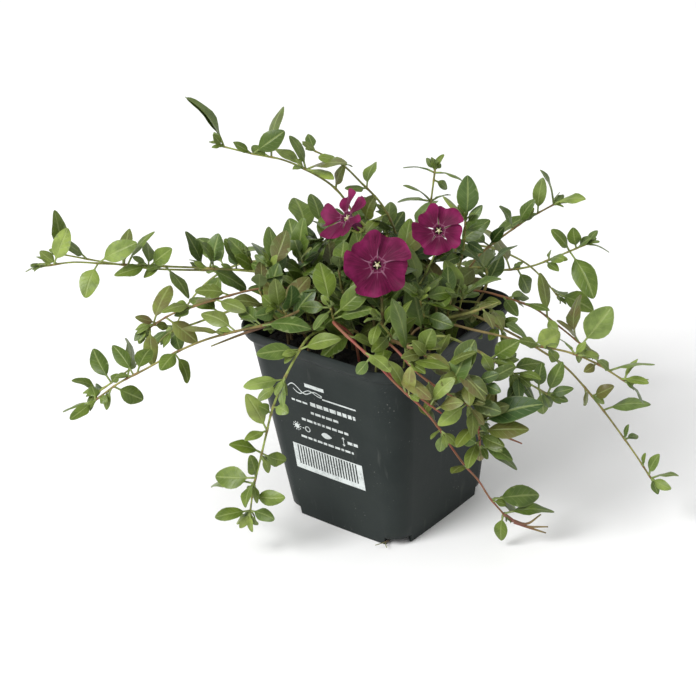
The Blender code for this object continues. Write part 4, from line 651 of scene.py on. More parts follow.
def tube_faces(rows, around):
    """The quads of a tube of rings, and of a fan at each end whose middle points follow the rings."""
    ring = np.arange(rows - 1)[:, None] * around
    k = np.arange(around)
    n = (k + 1) % around
    quads = np.stack([ring + k, ring + n, ring + around + n, ring + around + k], axis=-1).reshape(-1, 4)
    low = np.stack([n, k, np.full(around, rows * around)], axis=1)
    top = (rows - 1) * around
    high = np.stack([top + k, top + n, np.full(around, rows * around + 1)], axis=1)
    return quads, low, high


def closed_tube(rings):
    """One closed body through rings of points (rows, around, 3), with a fan from each end ring to its
    middle."""
    rows, around = rings.shape[:2]
    points = np.vstack([rings.reshape(-1, 3), rings[0].mean(axis=0), rings[-1].mean(axis=0)])
    quads, low, high = tube_faces(rows, around)
    return points, quads.tolist() + low.tolist() + high.tolist()


def merged(bodies):
    """Several bodies of points and faces as one."""
    points, faces, count = [], [], 0
    for body_points, body_faces in bodies:
        points.append(body_points)
        faces += [[index + count for index in face] for face in body_faces]
        count += len(body_points)
    return np.vstack(points), faces


def rings_along(line, radius, around):
    """Rings square to a line: at each place, radius times the cosine and sine of the angle along two
    directions, which are worked out from the line's own way and the direction that it turns least
    towards."""
    way = np.gradient(line, axis=0)
    way /= np.linalg.norm(way, axis=1, keepdims=True)
    flat = np.linalg.svd(way)[2][-1]
    side = np.cross(way, flat)
    side /= np.linalg.norm(side, axis=1, keepdims=True)
    lift = np.cross(way, side)
    angle = np.linspace(0, 2 * np.pi, around, endpoint=False)[None, :, None]
    radius = np.broadcast_to(radius, len(line))[:, None, None]
    return line[:, None] + radius * (np.cos(angle) * side[:, None] + np.sin(angle) * lift[:, None])


def new_mesh(name, body):
    """A mesh from a body, which is an array of points and a list of faces."""
    mesh = bpy.data.meshes.new(name)
    mesh.from_pydata(body[0].tolist(), [], body[1])
    return mesh


def add_object(name, data):
    """A new object in the scene."""
    made = bpy.data.objects.new(name, data)
    bpy.context.scene.collection.objects.link(made)
    return made


def add_piece(name, body, material, nodes=(), smooth_under=None):
    """A mesh object from a body of points and faces, which rides on the plant's one body and stands for the
    given solids. smooth_under is the angle in degrees above which an edge stays crisp."""
    mesh = new_mesh(name, body)
    mesh.shade_smooth()
    if smooth_under is not None:
        mesh.set_sharp_from_angle(angle=math.radians(smooth_under))
    mesh.materials.append(material)
    mesh.validate()
    piece = add_object(name, mesh)
    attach(piece, "root")
    if nodes:
        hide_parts(*nodes)
    return piece


def add_tint(piece, values, domain):
    """Four numbers for each corner or point, which the materials read. What each means is said where it is
    made."""
    layer = piece.data.color_attributes.new("tint", "FLOAT_COLOR", domain)
    layer.data.foreach_set("color", np.asarray(values, np.float32).ravel())


def add_uv(piece, values):
    """A place on the surface for each corner, which the veins and stripes follow."""
    piece.data.uv_layers.new(name="blade").data.foreach_set("uv", np.asarray(values, np.float32).ravel())


# Materials

class Steps:
    """The node tree of one material or effect, with each step of a look as one short call. A value is a
    number, a colour or another node's output."""

    def __init__(self, tree):
        self.tree = tree

    def fill(self, node, inputs):
        """Sets a node's sockets to values, or links them from other nodes."""
        for key, value in inputs.items():
            if isinstance(value, bpy.types.NodeSocket):
                self.tree.links.new(value, node.inputs[key])
            else:
                node.inputs[key].default_value = value

    def node(self, kind, inputs=(), **settings):
        """The outputs of a new node with these settings and inputs."""
        node = self.tree.nodes.new(kind)
        for key, value in settings.items():
            setattr(node, key, value)
        self.fill(node, dict(inputs))
        return node.outputs

    def maths(self, operation, *values):
        return self.node("ShaderNodeMath", dict(enumerate(values)), operation=operation)[0]

    def times(self, first, second):
        return self.maths("MULTIPLY", first, second)

    def scaled(self, value, factor, start):
        """The value times the factor, plus the start."""
        return self.maths("MULTIPLY_ADD", value, factor, start)

    def step(self, value, low, high, start=0.0, end=1.0):
        """A soft step: start where value is under low, end where it is over high."""
        inputs = {"Value": value, "From Min": low, "From Max": high, "To Min": start, "To Max": end}
        return self.node("ShaderNodeMapRange", inputs, interpolation_type="SMOOTHSTEP")[0]

    def fade(self, value, low, high):
        """A soft step down: 1 where value is under low, 0 where it is over high."""
        return self.step(value, low, high, 1.0, 0.0)

    def mix(self, share, first, second):
        """The first colour, with this share of the second."""
        hues = [hue if isinstance(hue, bpy.types.NodeSocket) else (*hue, 1) for hue in (first, second)]
        return self.node("ShaderNodeMix", {0: share, 6: hues[0], 7: hues[1]}, data_type="RGBA")[2]

    def object_place(self):
        return self.node("ShaderNodeTexCoord")["Object"]

    def noise(self, place, scale, detail):
        return self.node("ShaderNodeTexNoise", {"Vector": place, "Scale": scale, "Detail": detail})[0]

    def blade(self):
        """The place on a leaf or a lobe: the two numbers of its UV map."""
        blade = self.node("ShaderNodeUVMap", uv_map="blade")[0]
        return self.node("ShaderNodeSeparateXYZ", {0: blade})[:2]

    def tint(self):
        """The tint's four numbers."""
        tint = self.node("ShaderNodeAttribute", attribute_name="tint")
        return *self.node("ShaderNodeSeparateColor", {0: tint["Color"]})[:3], tint["Alpha"]

    def off_middle(self, value):
        """How far a value between 0 and 1 is from a half, where 1 is at either end."""
        return self.maths("ABSOLUTE", self.scaled(value, 2.0, -1.0))

    def relief(self, height, strength, depth):
        inputs = {"Height": height, "Strength": strength, "Distance": depth}
        return self.node("ShaderNodeBump", inputs)["Normal"]

    def effect(self, name, scale):
        """The value of a shared effect. Its node group is built when it is first asked for."""
        group = bpy.data.node_groups.get(name)
        if not group:
            group = bpy.data.node_groups.new(name, "ShaderNodeTree")
            group.interface.new_socket("Scale", in_out="INPUT", socket_type="NodeSocketFloat")
            group.interface.new_socket("Value", in_out="OUTPUT", socket_type="NodeSocketFloat")
            given = group.nodes.new("NodeGroupInput")
            result = group.nodes.new("NodeGroupOutput")
            value = EFFECTS[name](Steps(group), given.outputs["Scale"])
            group.links.new(value, result.inputs["Value"])
        return self.node("ShaderNodeGroup", {"Scale": scale}, node_tree=group)[0]


def mottle_effect(s, scale):
    """Cloudy patches: noise at one size with finer noise in it, stretched to run from 0 to 1."""
    return s.step(s.noise(s.object_place(), scale, 4.0), 0.32, 0.68)


def grain_effect(s, scale):
    """A fine moulded or skin grain: pits from one noise and longer dips from another."""
    place = s.object_place()
    slow = s.noise(place, s.times(scale, 0.12), 2.0)
    return s.maths("ADD", s.times(s.noise(place, scale, 2.0), 0.4), slow)


def speck_effect(s, scale):
    """Small specks of dust: the middles of scattered cells, where a slow noise lets them show."""
    place = s.object_place()
    cells = s.node("ShaderNodeTexVoronoi", {"Vector": place, "Scale": scale})["Distance"]
    return s.times(s.fade(cells, 0.06, 0.16), s.step(s.noise(place, 60.0, 3.0), 0.5, 0.72))


EFFECTS = {"mottle": mottle_effect, "grain": grain_effect, "specks": speck_effect}


def new_material(name, shader_inputs, look):
    """A material whose shader has the inputs that the function shader_inputs makes from a look's
    colours."""
    old = bpy.data.materials.get(name)
    if old:
        bpy.data.materials.remove(old)
    material = bpy.data.materials.new(name)
    material.use_nodes = True
    steps = Steps(material.node_tree)
    steps.fill(material.node_tree.nodes["Principled BSDF"], shader_inputs(steps, look))
    return material


def leaf_skin(s, look):
    """A waxy evergreen leaf. It reads how far up and across the blade a spot is, and for each leaf how light
    its green is, which is its age with the light and shade on a seen leaf painted in, how bronzed and which
    side it is. The midrib, the side veins and the margin are paler than the blade."""
    up_blade, across = s.blade()
    across = s.off_middle(across)
    youth_and_painted_light, bronze, underside, chance = s.tint()
    patches, fine_patches = s.effect("mottle", 170.0), s.effect("mottle", 620.0)

    rib_width = s.scaled(up_blade, 0.1, 0.03)
    midrib = s.fade(across, s.times(rib_width, 0.45), s.times(rib_width, 1.5))
    phase = s.maths("SUBTRACT", s.times(up_blade, 8.5), s.times(across, 1.6))
    side_vein = s.times(s.fade(s.maths("PINGPONG", phase, 0.5), 0.015, 0.1), s.fade(across, 0.62, 0.92))
    side_vein = s.times(side_vein, s.step(up_blade, 0.26, 0.34))
    margin = s.times(s.step(across, 0.86, 0.98), s.step(up_blade, 0.2, 0.28))
    stalk = s.fade(up_blade, 0.17, 0.25)

    # How light the green is: the leaf's age, and on a seen leaf the light and shade painted into its colour.
    green = s.mix(s.step(youth_and_painted_light, 0.0, 0.5), look.leaf_dark, look.leaf_mid)
    green = s.mix(s.step(youth_and_painted_light, 0.5, 1.0), green, look.leaf_light)
    green = s.mix(s.step(chance, 0.5, 1.0, 0.0, 0.5), green, look.leaf_cool)
    green = s.mix(s.times(patches, 0.5), green, look.leaf_dark)
    green = s.mix(s.times(bronze, s.scaled(patches, 0.5, 0.45)), green, look.leaf_bronze)
    for line, strength in ((side_vein, 0.15), (midrib, 0.45), (margin, 0.2), (stalk, 0.5)):
        green = s.mix(s.times(line, strength), green, look.leaf_vein)
    green = s.mix(s.times(s.effect("specks", 700.0), 0.5), green, look.leaf_spot)
    pale = s.mix(s.times(fine_patches, 0.3), look.leaf_underside, look.leaf_mid)
    pale = s.mix(s.times(midrib, 0.4), pale, look.leaf_vein)

    height = s.scaled(midrib, -0.8, s.times(side_vein, -0.4))
    height = s.maths("ADD", height, s.times(s.effect("grain", 1400.0), 0.35))
    return {
        "Base Color": s.mix(s.times(underside, 0.75), green, pale),
        "Roughness": s.maths("ADD", s.scaled(underside, 0.26, 0.34), s.times(fine_patches, 0.1)),
        "Specular IOR Level": 0.34,
        "Normal": s.relief(height, 0.5, 0.35 * MM),
    }


def stem_skin(s, look):
    """A slim stem. It reads how far along the stem a spot is, how near a joint, how red and how old:
    green near the tip, brown and woody near the root, and flushed red at the joints."""
    along, joint, red, old = s.tint()
    patches = s.effect("mottle", 260.0)
    colour = s.mix(patches, look.stem_green, look.leaf_light)
    colour = s.mix(s.times(old, s.step(along, 0.25, 0.95, 1.0, 0.25)), colour, look.stem_brown)
    flush = s.times(red, s.scaled(patches, 0.4, 0.55))
    flush = s.maths("MAXIMUM", flush, s.times(joint, s.scaled(red, 0.5, 0.3)))
    return {
        "Base Color": s.mix(flush, colour, look.stem_red),
        "Specular IOR Level": 0.25,
        "Normal": s.relief(s.effect("grain", 1500.0), 0.5, 0.25 * MM),
    }


def petal_skin(s, look):
    """A velvety petal. It reads the place across a lobe and out from the throat: a pale five-sided line
    stands round the throat, with pale lines from its corners, and fine darker streaks run outwards. The
    outer half of each lobe is lightened in patches as a painted highlight, and the tube is darkened as
    painted shade in the throat."""
    lobe, out = s.blade()
    underside = s.tint()[2]
    corner = s.off_middle(lobe)
    patches = s.effect("mottle", 180.0)
    place = s.node("ShaderNodeCombineXYZ", {0: s.times(lobe, 26.0), 1: s.times(out, 2.0)})[0]
    streaks = s.step(s.noise(place, 1.0, 3.0), 0.35, 0.65)
    colour = s.mix(s.times(streaks, 0.5), look.petal_wine, look.petal_streaks_and_throat_shade)
    # Painted highlight: the outer half of each lobe is lightened in patches.
    painted_highlight = s.times(s.step(out, 0.5, 1.0), s.scaled(patches, 0.9, 0.05))
    colour = s.mix(painted_highlight, colour, look.petal_painted_highlight)
    ring = s.maths("ABSOLUTE", s.maths("SUBTRACT", out, s.scaled(corner, 0.05, 0.285)))
    ring = s.fade(ring, 0.008, 0.03)
    spoke = s.times(s.step(corner, 0.86, 0.97), s.fade(out, 0.3, 0.62))
    spoke = s.times(spoke, s.step(out, 0.24, 0.3))
    middle = s.times(s.fade(corner, 0.0, 0.1), s.fade(out, 0.3, 0.55))
    star = s.maths("MAXIMUM", s.times(ring, 0.14), s.times(spoke, 0.42))
    star = s.maths("MAXIMUM", star, s.times(middle, 0.2))
    star = s.times(star, s.maths("SUBTRACT", 1.0, underside))
    colour = s.mix(star, colour, look.petal_star)
    # Painted shade in the throat: the corolla's tube, which lines it, is darkened towards the streak colour.
    colour = s.mix(s.step(out, 0.12, 0.24, 0.75, 0.0), colour, look.petal_streaks_and_throat_shade)
    height = s.scaled(streaks, 0.5, s.times(s.effect("grain", 1300.0), 0.4))
    return {
        "Base Color": s.mix(s.times(underside, 0.5), colour, look.petal_back),
        "Specular IOR Level": 0.12,
        "Normal": s.relief(height, 0.35, 0.25 * MM),
    }


def pot_skin(s, look):
    """Moulded dark plastic: faint clouds, pale dust specks, scuffs that run mostly down, and a fine
    grain."""
    clouds = s.effect("mottle", 38.0)
    colour = s.mix(s.times(clouds, 0.5), look.plastic, look.plastic_worn)
    squeezed = s.node("ShaderNodeMapping", {"Vector": s.object_place(), "Scale": (1.0, 1.0, 0.12)})[0]
    scuffs = s.times(s.step(s.noise(squeezed, 260.0, 5.0), 0.62, 0.78), 0.16 * look.dust)
    colour = s.mix(scuffs, colour, look.dust_colour)
    for scale, strength in ((420.0, 0.5), (1100.0, 0.35)):
        colour = s.mix(s.times(s.effect("specks", scale), strength * look.dust), colour, look.dust_colour)
    return {
        "Base Color": colour,
        "Roughness": s.maths("ADD", s.scaled(clouds, 0.1, 0.36), scuffs),
        "Specular IOR Level": 0.1,
        "Normal": s.relief(s.effect("grain", 1100.0), 0.28, 0.2 * MM),
    }


def print_skin(s, look):
    """White pad print, thin enough that the plastic shows through in worn spots."""
    worn = s.times(s.effect("mottle", 1500.0), s.effect("mottle", 240.0))
    return {
        "Base Color": s.mix(s.times(worn, 0.5), look.print_white, look.plastic_worn),
        "Normal": s.relief(s.effect("grain", 1600.0), 0.2, 0.1 * MM),
    }


def soil_skin(s, look):
    """Moist peat: near black, with brown fibres and lighter crumbs, and never shiny. The near black is dark
    peat with painted shade under the crown in it.
    """
    crumbs = s.times(s.effect("mottle", 700.0), s.effect("mottle", 150.0))
    # Painted shade: the near-black ground is darker than peat, for the shade under the crown.
    colour = s.mix(crumbs, look.soil_peat_and_shade, look.soil_brown)
    return {
        "Base Color": s.mix(s.times(s.effect("specks", 800.0), 0.6), colour, look.soil_fibre),
        "Roughness": 0.93,
        "Normal": s.relief(s.effect("grain", 900.0), 0.9, 0.8 * MM),
    }


def cream_skin(s, look):
    """The pale head in a bloom's throat, downy and slightly green towards its foot."""
    return {
        "Base Color": s.mix(s.effect("mottle", 900.0), look.stigma_cream, look.leaf_light),
        "Roughness": 0.6,
        "Normal": s.relief(s.effect("grain", 2600.0), 0.5, 0.1 * MM),
    }


def floor_skin(s, look):
    """A plain, pale, matt floor."""
    return {"Base Color": (*look.floor, 1), "Roughness": 0.9}


# Leaves

LEAF_ROWS = np.array([0.0, 0.12, 0.19, 0.22, 0.26, 0.33, 0.42, 0.53, 0.65, 0.77, 0.87, 0.945, 0.985])
LEAF_ROUND = np.array([1, 0.5, 0, -0.5, -1, -0.5, 0, 0.5])
LEAF_SIDES = np.array([0, 1, 1, 1, 0, -1, -1, -1])


def leaf_shells(leaves):
    """All the leaves of one stem as thin closed bodies. Across row u the surface is the blade's line, plus
    v times half the width, plus a rise: the fold lifts the two sides, the droop bends the tip down by the
    square of u, and waves grow towards the margin as v squared. The top and the underside are half the
    thickness apart times the root of one minus v squared."""
    pose = [np.array([leaf["pose"][k] for leaf in leaves]) for k in range(7)]
    place, along, face = (part[:, None, None, :] for part in pose[:3])
    long, wide, fold, droop = (part[:, None, None] for part in pose[3:])
    shift = np.array([leaf["shift"] for leaf in leaves])[:, None, None, :]
    wave, phase, twist, bend, curl = (np.array([leaf[k] for leaf in leaves])[:, None, None]
                                      for k in ("wave", "phase", "twist", "bend", "curl"))
    across = np.cross(face, along)
    u = np.append(LEAF_ROWS, 1.0)[None, :, None]
    v = LEAF_ROUND[None, None, :]
    blade = np.clip((u - PETIOLE_SHARE) / (1 - PETIOLE_SHARE), 0, 1)
    full = np.sin(np.pi * blade**0.85) ** (0.9 - 0.3 * blade)
    half = np.maximum(wide / 2 * full, PETIOLE_HALF_WIDTH * (1 - blade))
    rise = (np.sqrt(v**2 + 0.02) - 0.14) * half * np.tan(fold)
    rise = rise - droop * long * u**2 + 0.06 * long * np.sin(np.pi * u)
    rise = rise + wave * half * v**2 * np.sin(9.5 * u + phase + 1.4 * np.sign(v)) * np.minimum(1, 3 * blade)
    rise = rise + v * half * np.tan(twist * u) - curl * half * v**4
    thick = (0.46 - 0.26 * np.minimum(1, 4 * blade)) * MM
    rise = rise + LEAF_SIDES * thick * np.sqrt(np.maximum(0, 1 - v**2))
    sway = bend * long * np.sin(np.pi * u) * 0.5
    points = along * (long * u)[..., None] + across * (v * half + sway)[..., None] + face * rise[..., None]
    points = place + (points + shift * ((1 - u) ** 2)[..., None])
    tips = points[:, -1].mean(axis=1)
    return np.concatenate([points[:, :-1].reshape(len(leaves), -1, 3), tips[:, None]], axis=1)


def leaf_faces(count):
    """The faces of so many leaves: a tube of rings of eight, closed by one face at the stalk and a fan at
    the tip. Also, for each corner, its place up and across the blade and whether its face is on the
    underside, and the number of one leaf's corners."""
    rows, around = len(LEAF_ROWS), len(LEAF_ROUND)
    quads, _, tip = tube_faces(rows, around)
    tip[:, 2] -= 1
    one = quads.tolist() + tip.tolist() + [list(range(around))[::-1]]
    size = rows * around + 1
    faces = [[corner + leaf * size for corner in face] for leaf in range(count) for face in one]
    corner = np.concatenate(one)
    up_blade = np.append(np.repeat(LEAF_ROWS, around), 1.0)
    across = np.append(np.tile(LEAF_ROUND, rows), 0.0) / 2 + 0.5
    below = np.arange(around) >= around // 2
    under = [np.repeat(np.tile(below, rows - 1), 4), np.repeat(below, 3), np.zeros(around, bool)]
    uv = np.tile(np.stack([up_blade[corner], across[corner]], axis=1), (count, 1))
    return faces, uv, np.tile(np.concatenate(under), count), len(corner)


def add_leaves(name, leaves, material):
    """One piece of leaves, with the margins kept crisp. Its tint says how light the green is, from the leaf's
    age and, on a seen leaf, the painted light and shade, how bronzed and which side, and a number of the
    leaf's own."""
    points = leaf_shells(leaves)
    faces, uv, under, corners = leaf_faces(len(leaves))
    piece = add_piece(name, (points.reshape(-1, 3), faces), material)
    add_uv(piece, uv)
    own = np.array([(leaf["youth_and_painted_light"], leaf["bronze"], 0, leaf["chance"]) for leaf in leaves])
    own = np.repeat(own, corners, axis=0)
    own[:, 2] = under
    add_tint(piece, own, "CORNER")
    around = len(LEAF_ROUND)
    ends = np.empty(len(piece.data.edges) * 2, np.int64)
    piece.data.edges.foreach_get("vertices", ends)
    local = ends.reshape(-1, 2) % points.shape[1]
    margin = local % around % (around // 2) == 0
    same = (local[:, 0] % around == local[:, 1] % around) | (local.max(axis=1) == points.shape[1] - 1)
    piece.data.edges.foreach_set("use_edge_sharp", margin.all(axis=1) & same)


def leaf_character(key, youth_and_painted_light, bronze, pose, shift):
    """One leaf with its own small differences in wave, twist and bend."""
    draw = random.Random("form " + key)
    return {
        "pose": pose, "shift": shift,
        "wave": draw.uniform(0.05, 0.2), "phase": draw.uniform(0, 6.3),
        "twist": math.radians(draw.gauss(0, 12)), "bend": draw.gauss(0, 0.05),
        "curl": draw.uniform(-0.06, 0.22),
        "youth_and_painted_light": min(1, max(0, youth_and_painted_light + draw.gauss(0, 0.05))), "bronze": min(1, max(0, bronze)),
        "chance": draw.random(),
    }


def small_leaf_pose(key, place, way, out, open_angle, long):
    """A small leaf that leans out from its stem by the open angle."""
    draw = random.Random("small " + key)
    along = unit(math.cos(open_angle) * way + math.sin(open_angle) * out)
    face = UP + 0.35 * turned(0, -1, 0) + jitter(draw, 0.35)
    face = unit(face - (face @ along) * along)
    wide = long * draw.uniform(0.4, 0.52)
    return place, along, face, long, wide, math.radians(draw.uniform(10, 26)), draw.uniform(0, 0.14)


def side_leaves(key, pose, way, shift, youth_and_painted_light):
    """The pair of small leaves that often stands in the crook of a leaf."""
    draw = random.Random("crook " + key)
    if draw.random() > 0.3:
        return []
    out = unit(pose[1] - (pose[1] @ way) * way)
    turn = np.cross(way, out)
    found = []
    for k, lean in enumerate((-0.55, 0.55)):
        small = small_leaf_pose(f"{key} {k}", pose[0] + way * 1.2 * MM, way, unit(out + lean * turn),
                                math.radians(draw.uniform(22, 48)), draw.uniform(5.5, 9.5) * MM)
        found.append(leaf_character(f"{key} crook {k}", youth_and_painted_light + 0.15, 0.05, small, shift))
    return found


def tip_leaves(name, place, way, youth_and_painted_light):
    """The unopened leaves at a stem's end: two pairs, the second shorter and closer to the stem."""
    found = []
    flat = unit(np.cross(way, np.array([0.1, 0.2, 1.0])))
    other = np.cross(way, flat)
    for ring, (long, lean) in enumerate(((6.5 * MM, 32), (4 * MM, 15))):
        for side in (-1, 1):
            key = f"{name} tip {ring} {side}"
            draw = random.Random(key)
            out = side * (other if ring % 2 else flat)
            pose = small_leaf_pose(key, place + way * ring * 0.8 * MM, way, out,
                                   math.radians(lean + draw.uniform(-6, 6)), long * draw.uniform(0.8, 1.2))
            found.append(leaf_character(key, youth_and_painted_light + 0.2, 0.08, pose, np.zeros(3)))
    return found


# Stems

def fine_line(route):
    """The smooth line through the solid stem's own points, from its root in the soil."""
    root = np.array([*route[0][:2], SOIL_TOP - HOLE_DEPTH + 2 * FIT_GAP])
    return smooth_line(np.vstack([root, route]), FINE_STEP)


def stem_body(line, joints, thick, hue):
    """A stem as a tube of eight-sided rings. Its radius tapers evenly between the pair in millimetres, with
    a low swelling at each joint, where it is a bell curve of the distance from the joint. Also the tint of
    its points, which says how far along, how near a joint, how red and how old."""
    share = np.linspace(0, 1, len(line))
    near = np.zeros(len(line))
    for joint in joints:
        near = np.maximum(near, np.exp(-(np.linalg.norm(line - joint, axis=1) / (1.5 * MM)) ** 2))
    radius = (thick[0] + (thick[1] - thick[0]) * share) * (1 + 0.32 * near) * MM
    tint = np.stack([share, near, np.full_like(share, hue[0]), np.full_like(share, hue[1])], axis=1)
    tint = np.vstack([np.repeat(tint, 8, axis=0), tint[0], tint[-1]])
    return closed_tube(rings_along(line, radius, 8)), tint


def dress_stem(name, route, leaf_material, stem_material):
    """The fine stem and leaves that stand for one leafy solid, or a spare stem that has no solid."""
    draw = random.Random("stem " + name)
    spare = name in SPARE_STEMS
    line = smooth_line(route, FINE_STEP) if spare else fine_line(route)
    youth = draw.uniform(0.15, 0.35)
    leaves, joints = [], []
    for key, pose, way, youth_and_painted_light, bronze in solid_leaves(name, route, youth):
        nearest = line[np.linalg.norm(line - pose[0], axis=1).argmin()]
        joints.append(nearest)
        leaves.append(leaf_character(key, youth_and_painted_light, bronze, pose, nearest - pose[0]))
        if not spare:
            leaves += side_leaves(key, pose, way, nearest - pose[0], youth_and_painted_light)
    if not spare and not name.startswith("stalk"):
        leaves += tip_leaves(name, line[-1], unit(line[-1] - line[-3]), youth)
    hue = STEM_HUES.get(name, (draw.uniform(0.02, 0.2), draw.uniform(0.1, 0.45)))
    thick = (0.3, 0.15) if name.startswith("fibre") else (0.8, 0.3) if spare else (0.68, 0.38)
    body, tint = stem_body(line, joints, thick, hue)
    piece = add_piece(name + "_stem", body, stem_material, () if spare else (name,))
    add_tint(piece, tint, "POINT")
    if leaves:
        add_leaves(name + "_leaves", leaves, leaf_material)


# Blooms

def bloom_seat(shoot):
    """A bloom's middle, its size, and its directions in the pot's axes: two across its face, and the way it
    faces."""
    _, middle, facing, size, spin, *_ = shoot
    out = unit(turned(*facing))
    side = unit(np.cross(UP, out))
    lift = np.cross(out, side)
    c, s = math.cos(math.radians(spin)), math.sin(math.radians(spin))
    return turned(*middle) * MM, size, c * side + s * lift, c * lift - s * side, out


def five_ways(side, lift):
    """The five ways across a bloom that lie between its lobes."""
    for k in range(5):
        turn = 2 * math.pi * (k + 0.5) / 5
        yield math.cos(turn) * side + math.sin(turn) * lift


def turned_body(seat, side, lift, out, profile, around):
    """A closed body that is round about a bloom's axis. Its profile says each ring's radius and height."""
    angle = np.linspace(0, 2 * np.pi, around, endpoint=False)[:, None]
    round_face = np.cos(angle) * side + np.sin(angle) * lift
    return closed_tube(seat + profile[:, :1, None] * round_face + profile[:, 1:, None] * out)


LOBE_TURNS = (0.1, -0.25, 0.3, -0.1, 0.2)
LOBE_SPREADS = {"bloom_left": 0.72, "bloom_front": 1.02, "bloom_right": 0.92}
LOBE_SIZES = {"bloom_left": 0.86, "bloom_front": 0.96, "bloom_right": 0.87}
# Radius and height of the rings of each turned body of a bloom
COROLLA_PROFILE = np.array([
    (1.6, -9.3), (1.78, -8.8), (1.7, -6.5), (1.85, -4.2), (2.3, -2.4), (2.75, -1.3), (2.85, -0.75),
    (2.5, -0.6), (2.1, -1.1), (1.75, -1.8), (1.25, -3.6), (1.1, -6.0), (1.05, -8.3),
]) * MM
STIGMA_PROFILE = np.array([
    (0.2, -8.1), (0.42, -7.9), (0.42, -3.2), (0.62, -2.9), (0.98, -2.2), (1.0, -1.9), (0.72, -1.5),
    (0.7, -1.1), (0.35, -0.95),
]) * MM
CALYX_PROFILE = np.array([(0.5, -3.2), (0.9, -2.6), (1.5, -1.8), (2.1, -0.8), (2.35, -0.1), (2.0, 0.05)]) * MM


def film(front, back):
    """A thin closed body between two grids of places (rows, columns) with the same outline."""
    rows, columns = front.shape[:2]
    points = np.concatenate([front.reshape(-1, 3), back.reshape(-1, 3)])
    row, column = np.meshgrid(np.arange(rows - 1), np.arange(columns - 1), indexing="ij")
    a = (row * columns + column).ravel()
    quads = np.stack([a, a + 1, a + columns + 1, a + columns], axis=1)
    count = rows * columns
    edge = np.concatenate([np.arange(columns), np.arange(1, rows) * columns + columns - 1,
                           (rows - 1) * columns + np.arange(columns - 2, -1, -1),
                           np.arange(rows - 2, 0, -1) * columns])
    ahead = np.roll(edge, -1)
    rim = np.stack([edge, edge + count, ahead + count, ahead], axis=1)
    return points, quads.tolist() + (quads[:, ::-1] + count).tolist() + rim.tolist()


def lobe_grid(name, number, sink):
    """One lobe of a corolla as radius, angle and height over its width s from -1 to 1 and its length f from
    0 to 1. Its half width grows with f past a fifth of the circle, so it overlaps the next lobe, and its
    height falls with s times f, so that one side lies over its neighbour. The end is cut off at a slant,
    with waves along it."""
    s = np.linspace(-1, 1, 15)[None, :]
    f = np.linspace(0, 1, 10)[:, None]
    own = LOBE_TURNS[(number + 2 * len(name)) % 5]
    spread = LOBE_SPREADS[name]
    half_angle = np.pi / 5 * (0.9 * spread + (0.36 * spread + 0.12 * own) * np.minimum(1, 1.4 * f) ** 1.3)
    end = 0.96 - 0.1 * s - 0.1 * np.abs(s) ** 8 + 0.03 * np.sin(6 * s + 9 * own)
    end = (end - 0.06 * np.exp(-((s - 0.1 - own) / 0.25) ** 2) + 0.12 * own) * LOBE_SIZES[name]
    radius = THROAT_RADIUS * 0.86 + (COROLLA_RADIUS * end - THROAT_RADIUS * 0.86) * f
    angle = 2 * np.pi / 5 * (number + 0.5) + half_angle * s * (1 - 0.1 * f**2)
    height = (-0.6 + 1.7 * f**0.6 + 2.6 * own * f**2) * MM - 1.1 * MM * s * f**0.8
    height = height + (0.9 * f**2 * np.sin(4.4 * s + 11 * own) - 0.6 * (1 - s**2) * 4 * f * (1 - f)) * MM
    height = height + 1.1 * MM * np.sin(7 * s + 5 * own) * np.maximum(0, f - 0.55) - sink * (1 - 0.5 * f)
    return np.broadcast_arrays(radius, angle, height)


def add_corolla(name, shoot, material):
    """The fine corolla of one bloom: its tube as turned rings, and five lobes that overlap. Its surface
    place is the share across a lobe and the share out from the throat, and its tint's third number tells
    the underside."""
    middle, size, side, lift, out = bloom_seat(shoot)
    tube = turned_body(middle, side, lift, out, COROLLA_PROFILE * size, 40)
    bodies = [tube]
    marks = [np.tile([0.5, 0.15, 0.3], (len(tube[0]), 1))]
    for number in range(5):
        faces = []
        for sink in (0, 0.3 * MM):
            radius, angle, height = (part[..., None] for part in lobe_grid(name, number, sink))
            round_face = np.cos(angle) * side + np.sin(angle) * lift
            faces.append(middle + (radius * round_face + height * out) * size)
        bodies.append(film(*faces))
        rows, columns = faces[0].shape[:2]
        across, along = np.meshgrid(np.linspace(0, 1, columns), np.linspace(0.24, 1, rows))
        for under in (0, 1):
            marks.append(np.stack([across.ravel(), along.ravel(), np.full(across.size, under)], axis=1))
    piece = add_piece(name + "_petals", merged(bodies), material, (name,), 60)
    marks = np.vstack(marks)
    corners = np.empty(len(piece.data.loops), np.int64)
    piece.data.loops.foreach_get("vertex_index", corners)
    add_uv(piece, marks[corners, :2])
    add_tint(piece, np.column_stack([np.zeros((len(marks), 2)), marks[:, 2], np.ones(len(marks))]), "POINT")


def add_stigma(name, shoot, material):
    """The style and its flat head, as a turned profile, with five downy tufts that close the throat."""
    middle, size, side, lift, out = bloom_seat(shoot)
    bodies = [turned_body(middle, side, lift, out, STIGMA_PROFILE * size, 16)]
    t = np.linspace(0, 1, 6)[:, None]
    for way in five_ways(side, lift):
        line = middle + (way * (1.75 - 1.0 * t) + out * (-1.9 + 0.9 * np.sin(2.2 * t))) * MM * size
        radius = np.array([0.2, 0.24, 0.25, 0.22, 0.16, 0.05]) * MM * size
        bodies.append(closed_tube(rings_along(line, radius, 6)))
    name = name.replace("bloom", "stigma")
    add_piece(name + "_head", merged(bodies), material, (name,), 50)


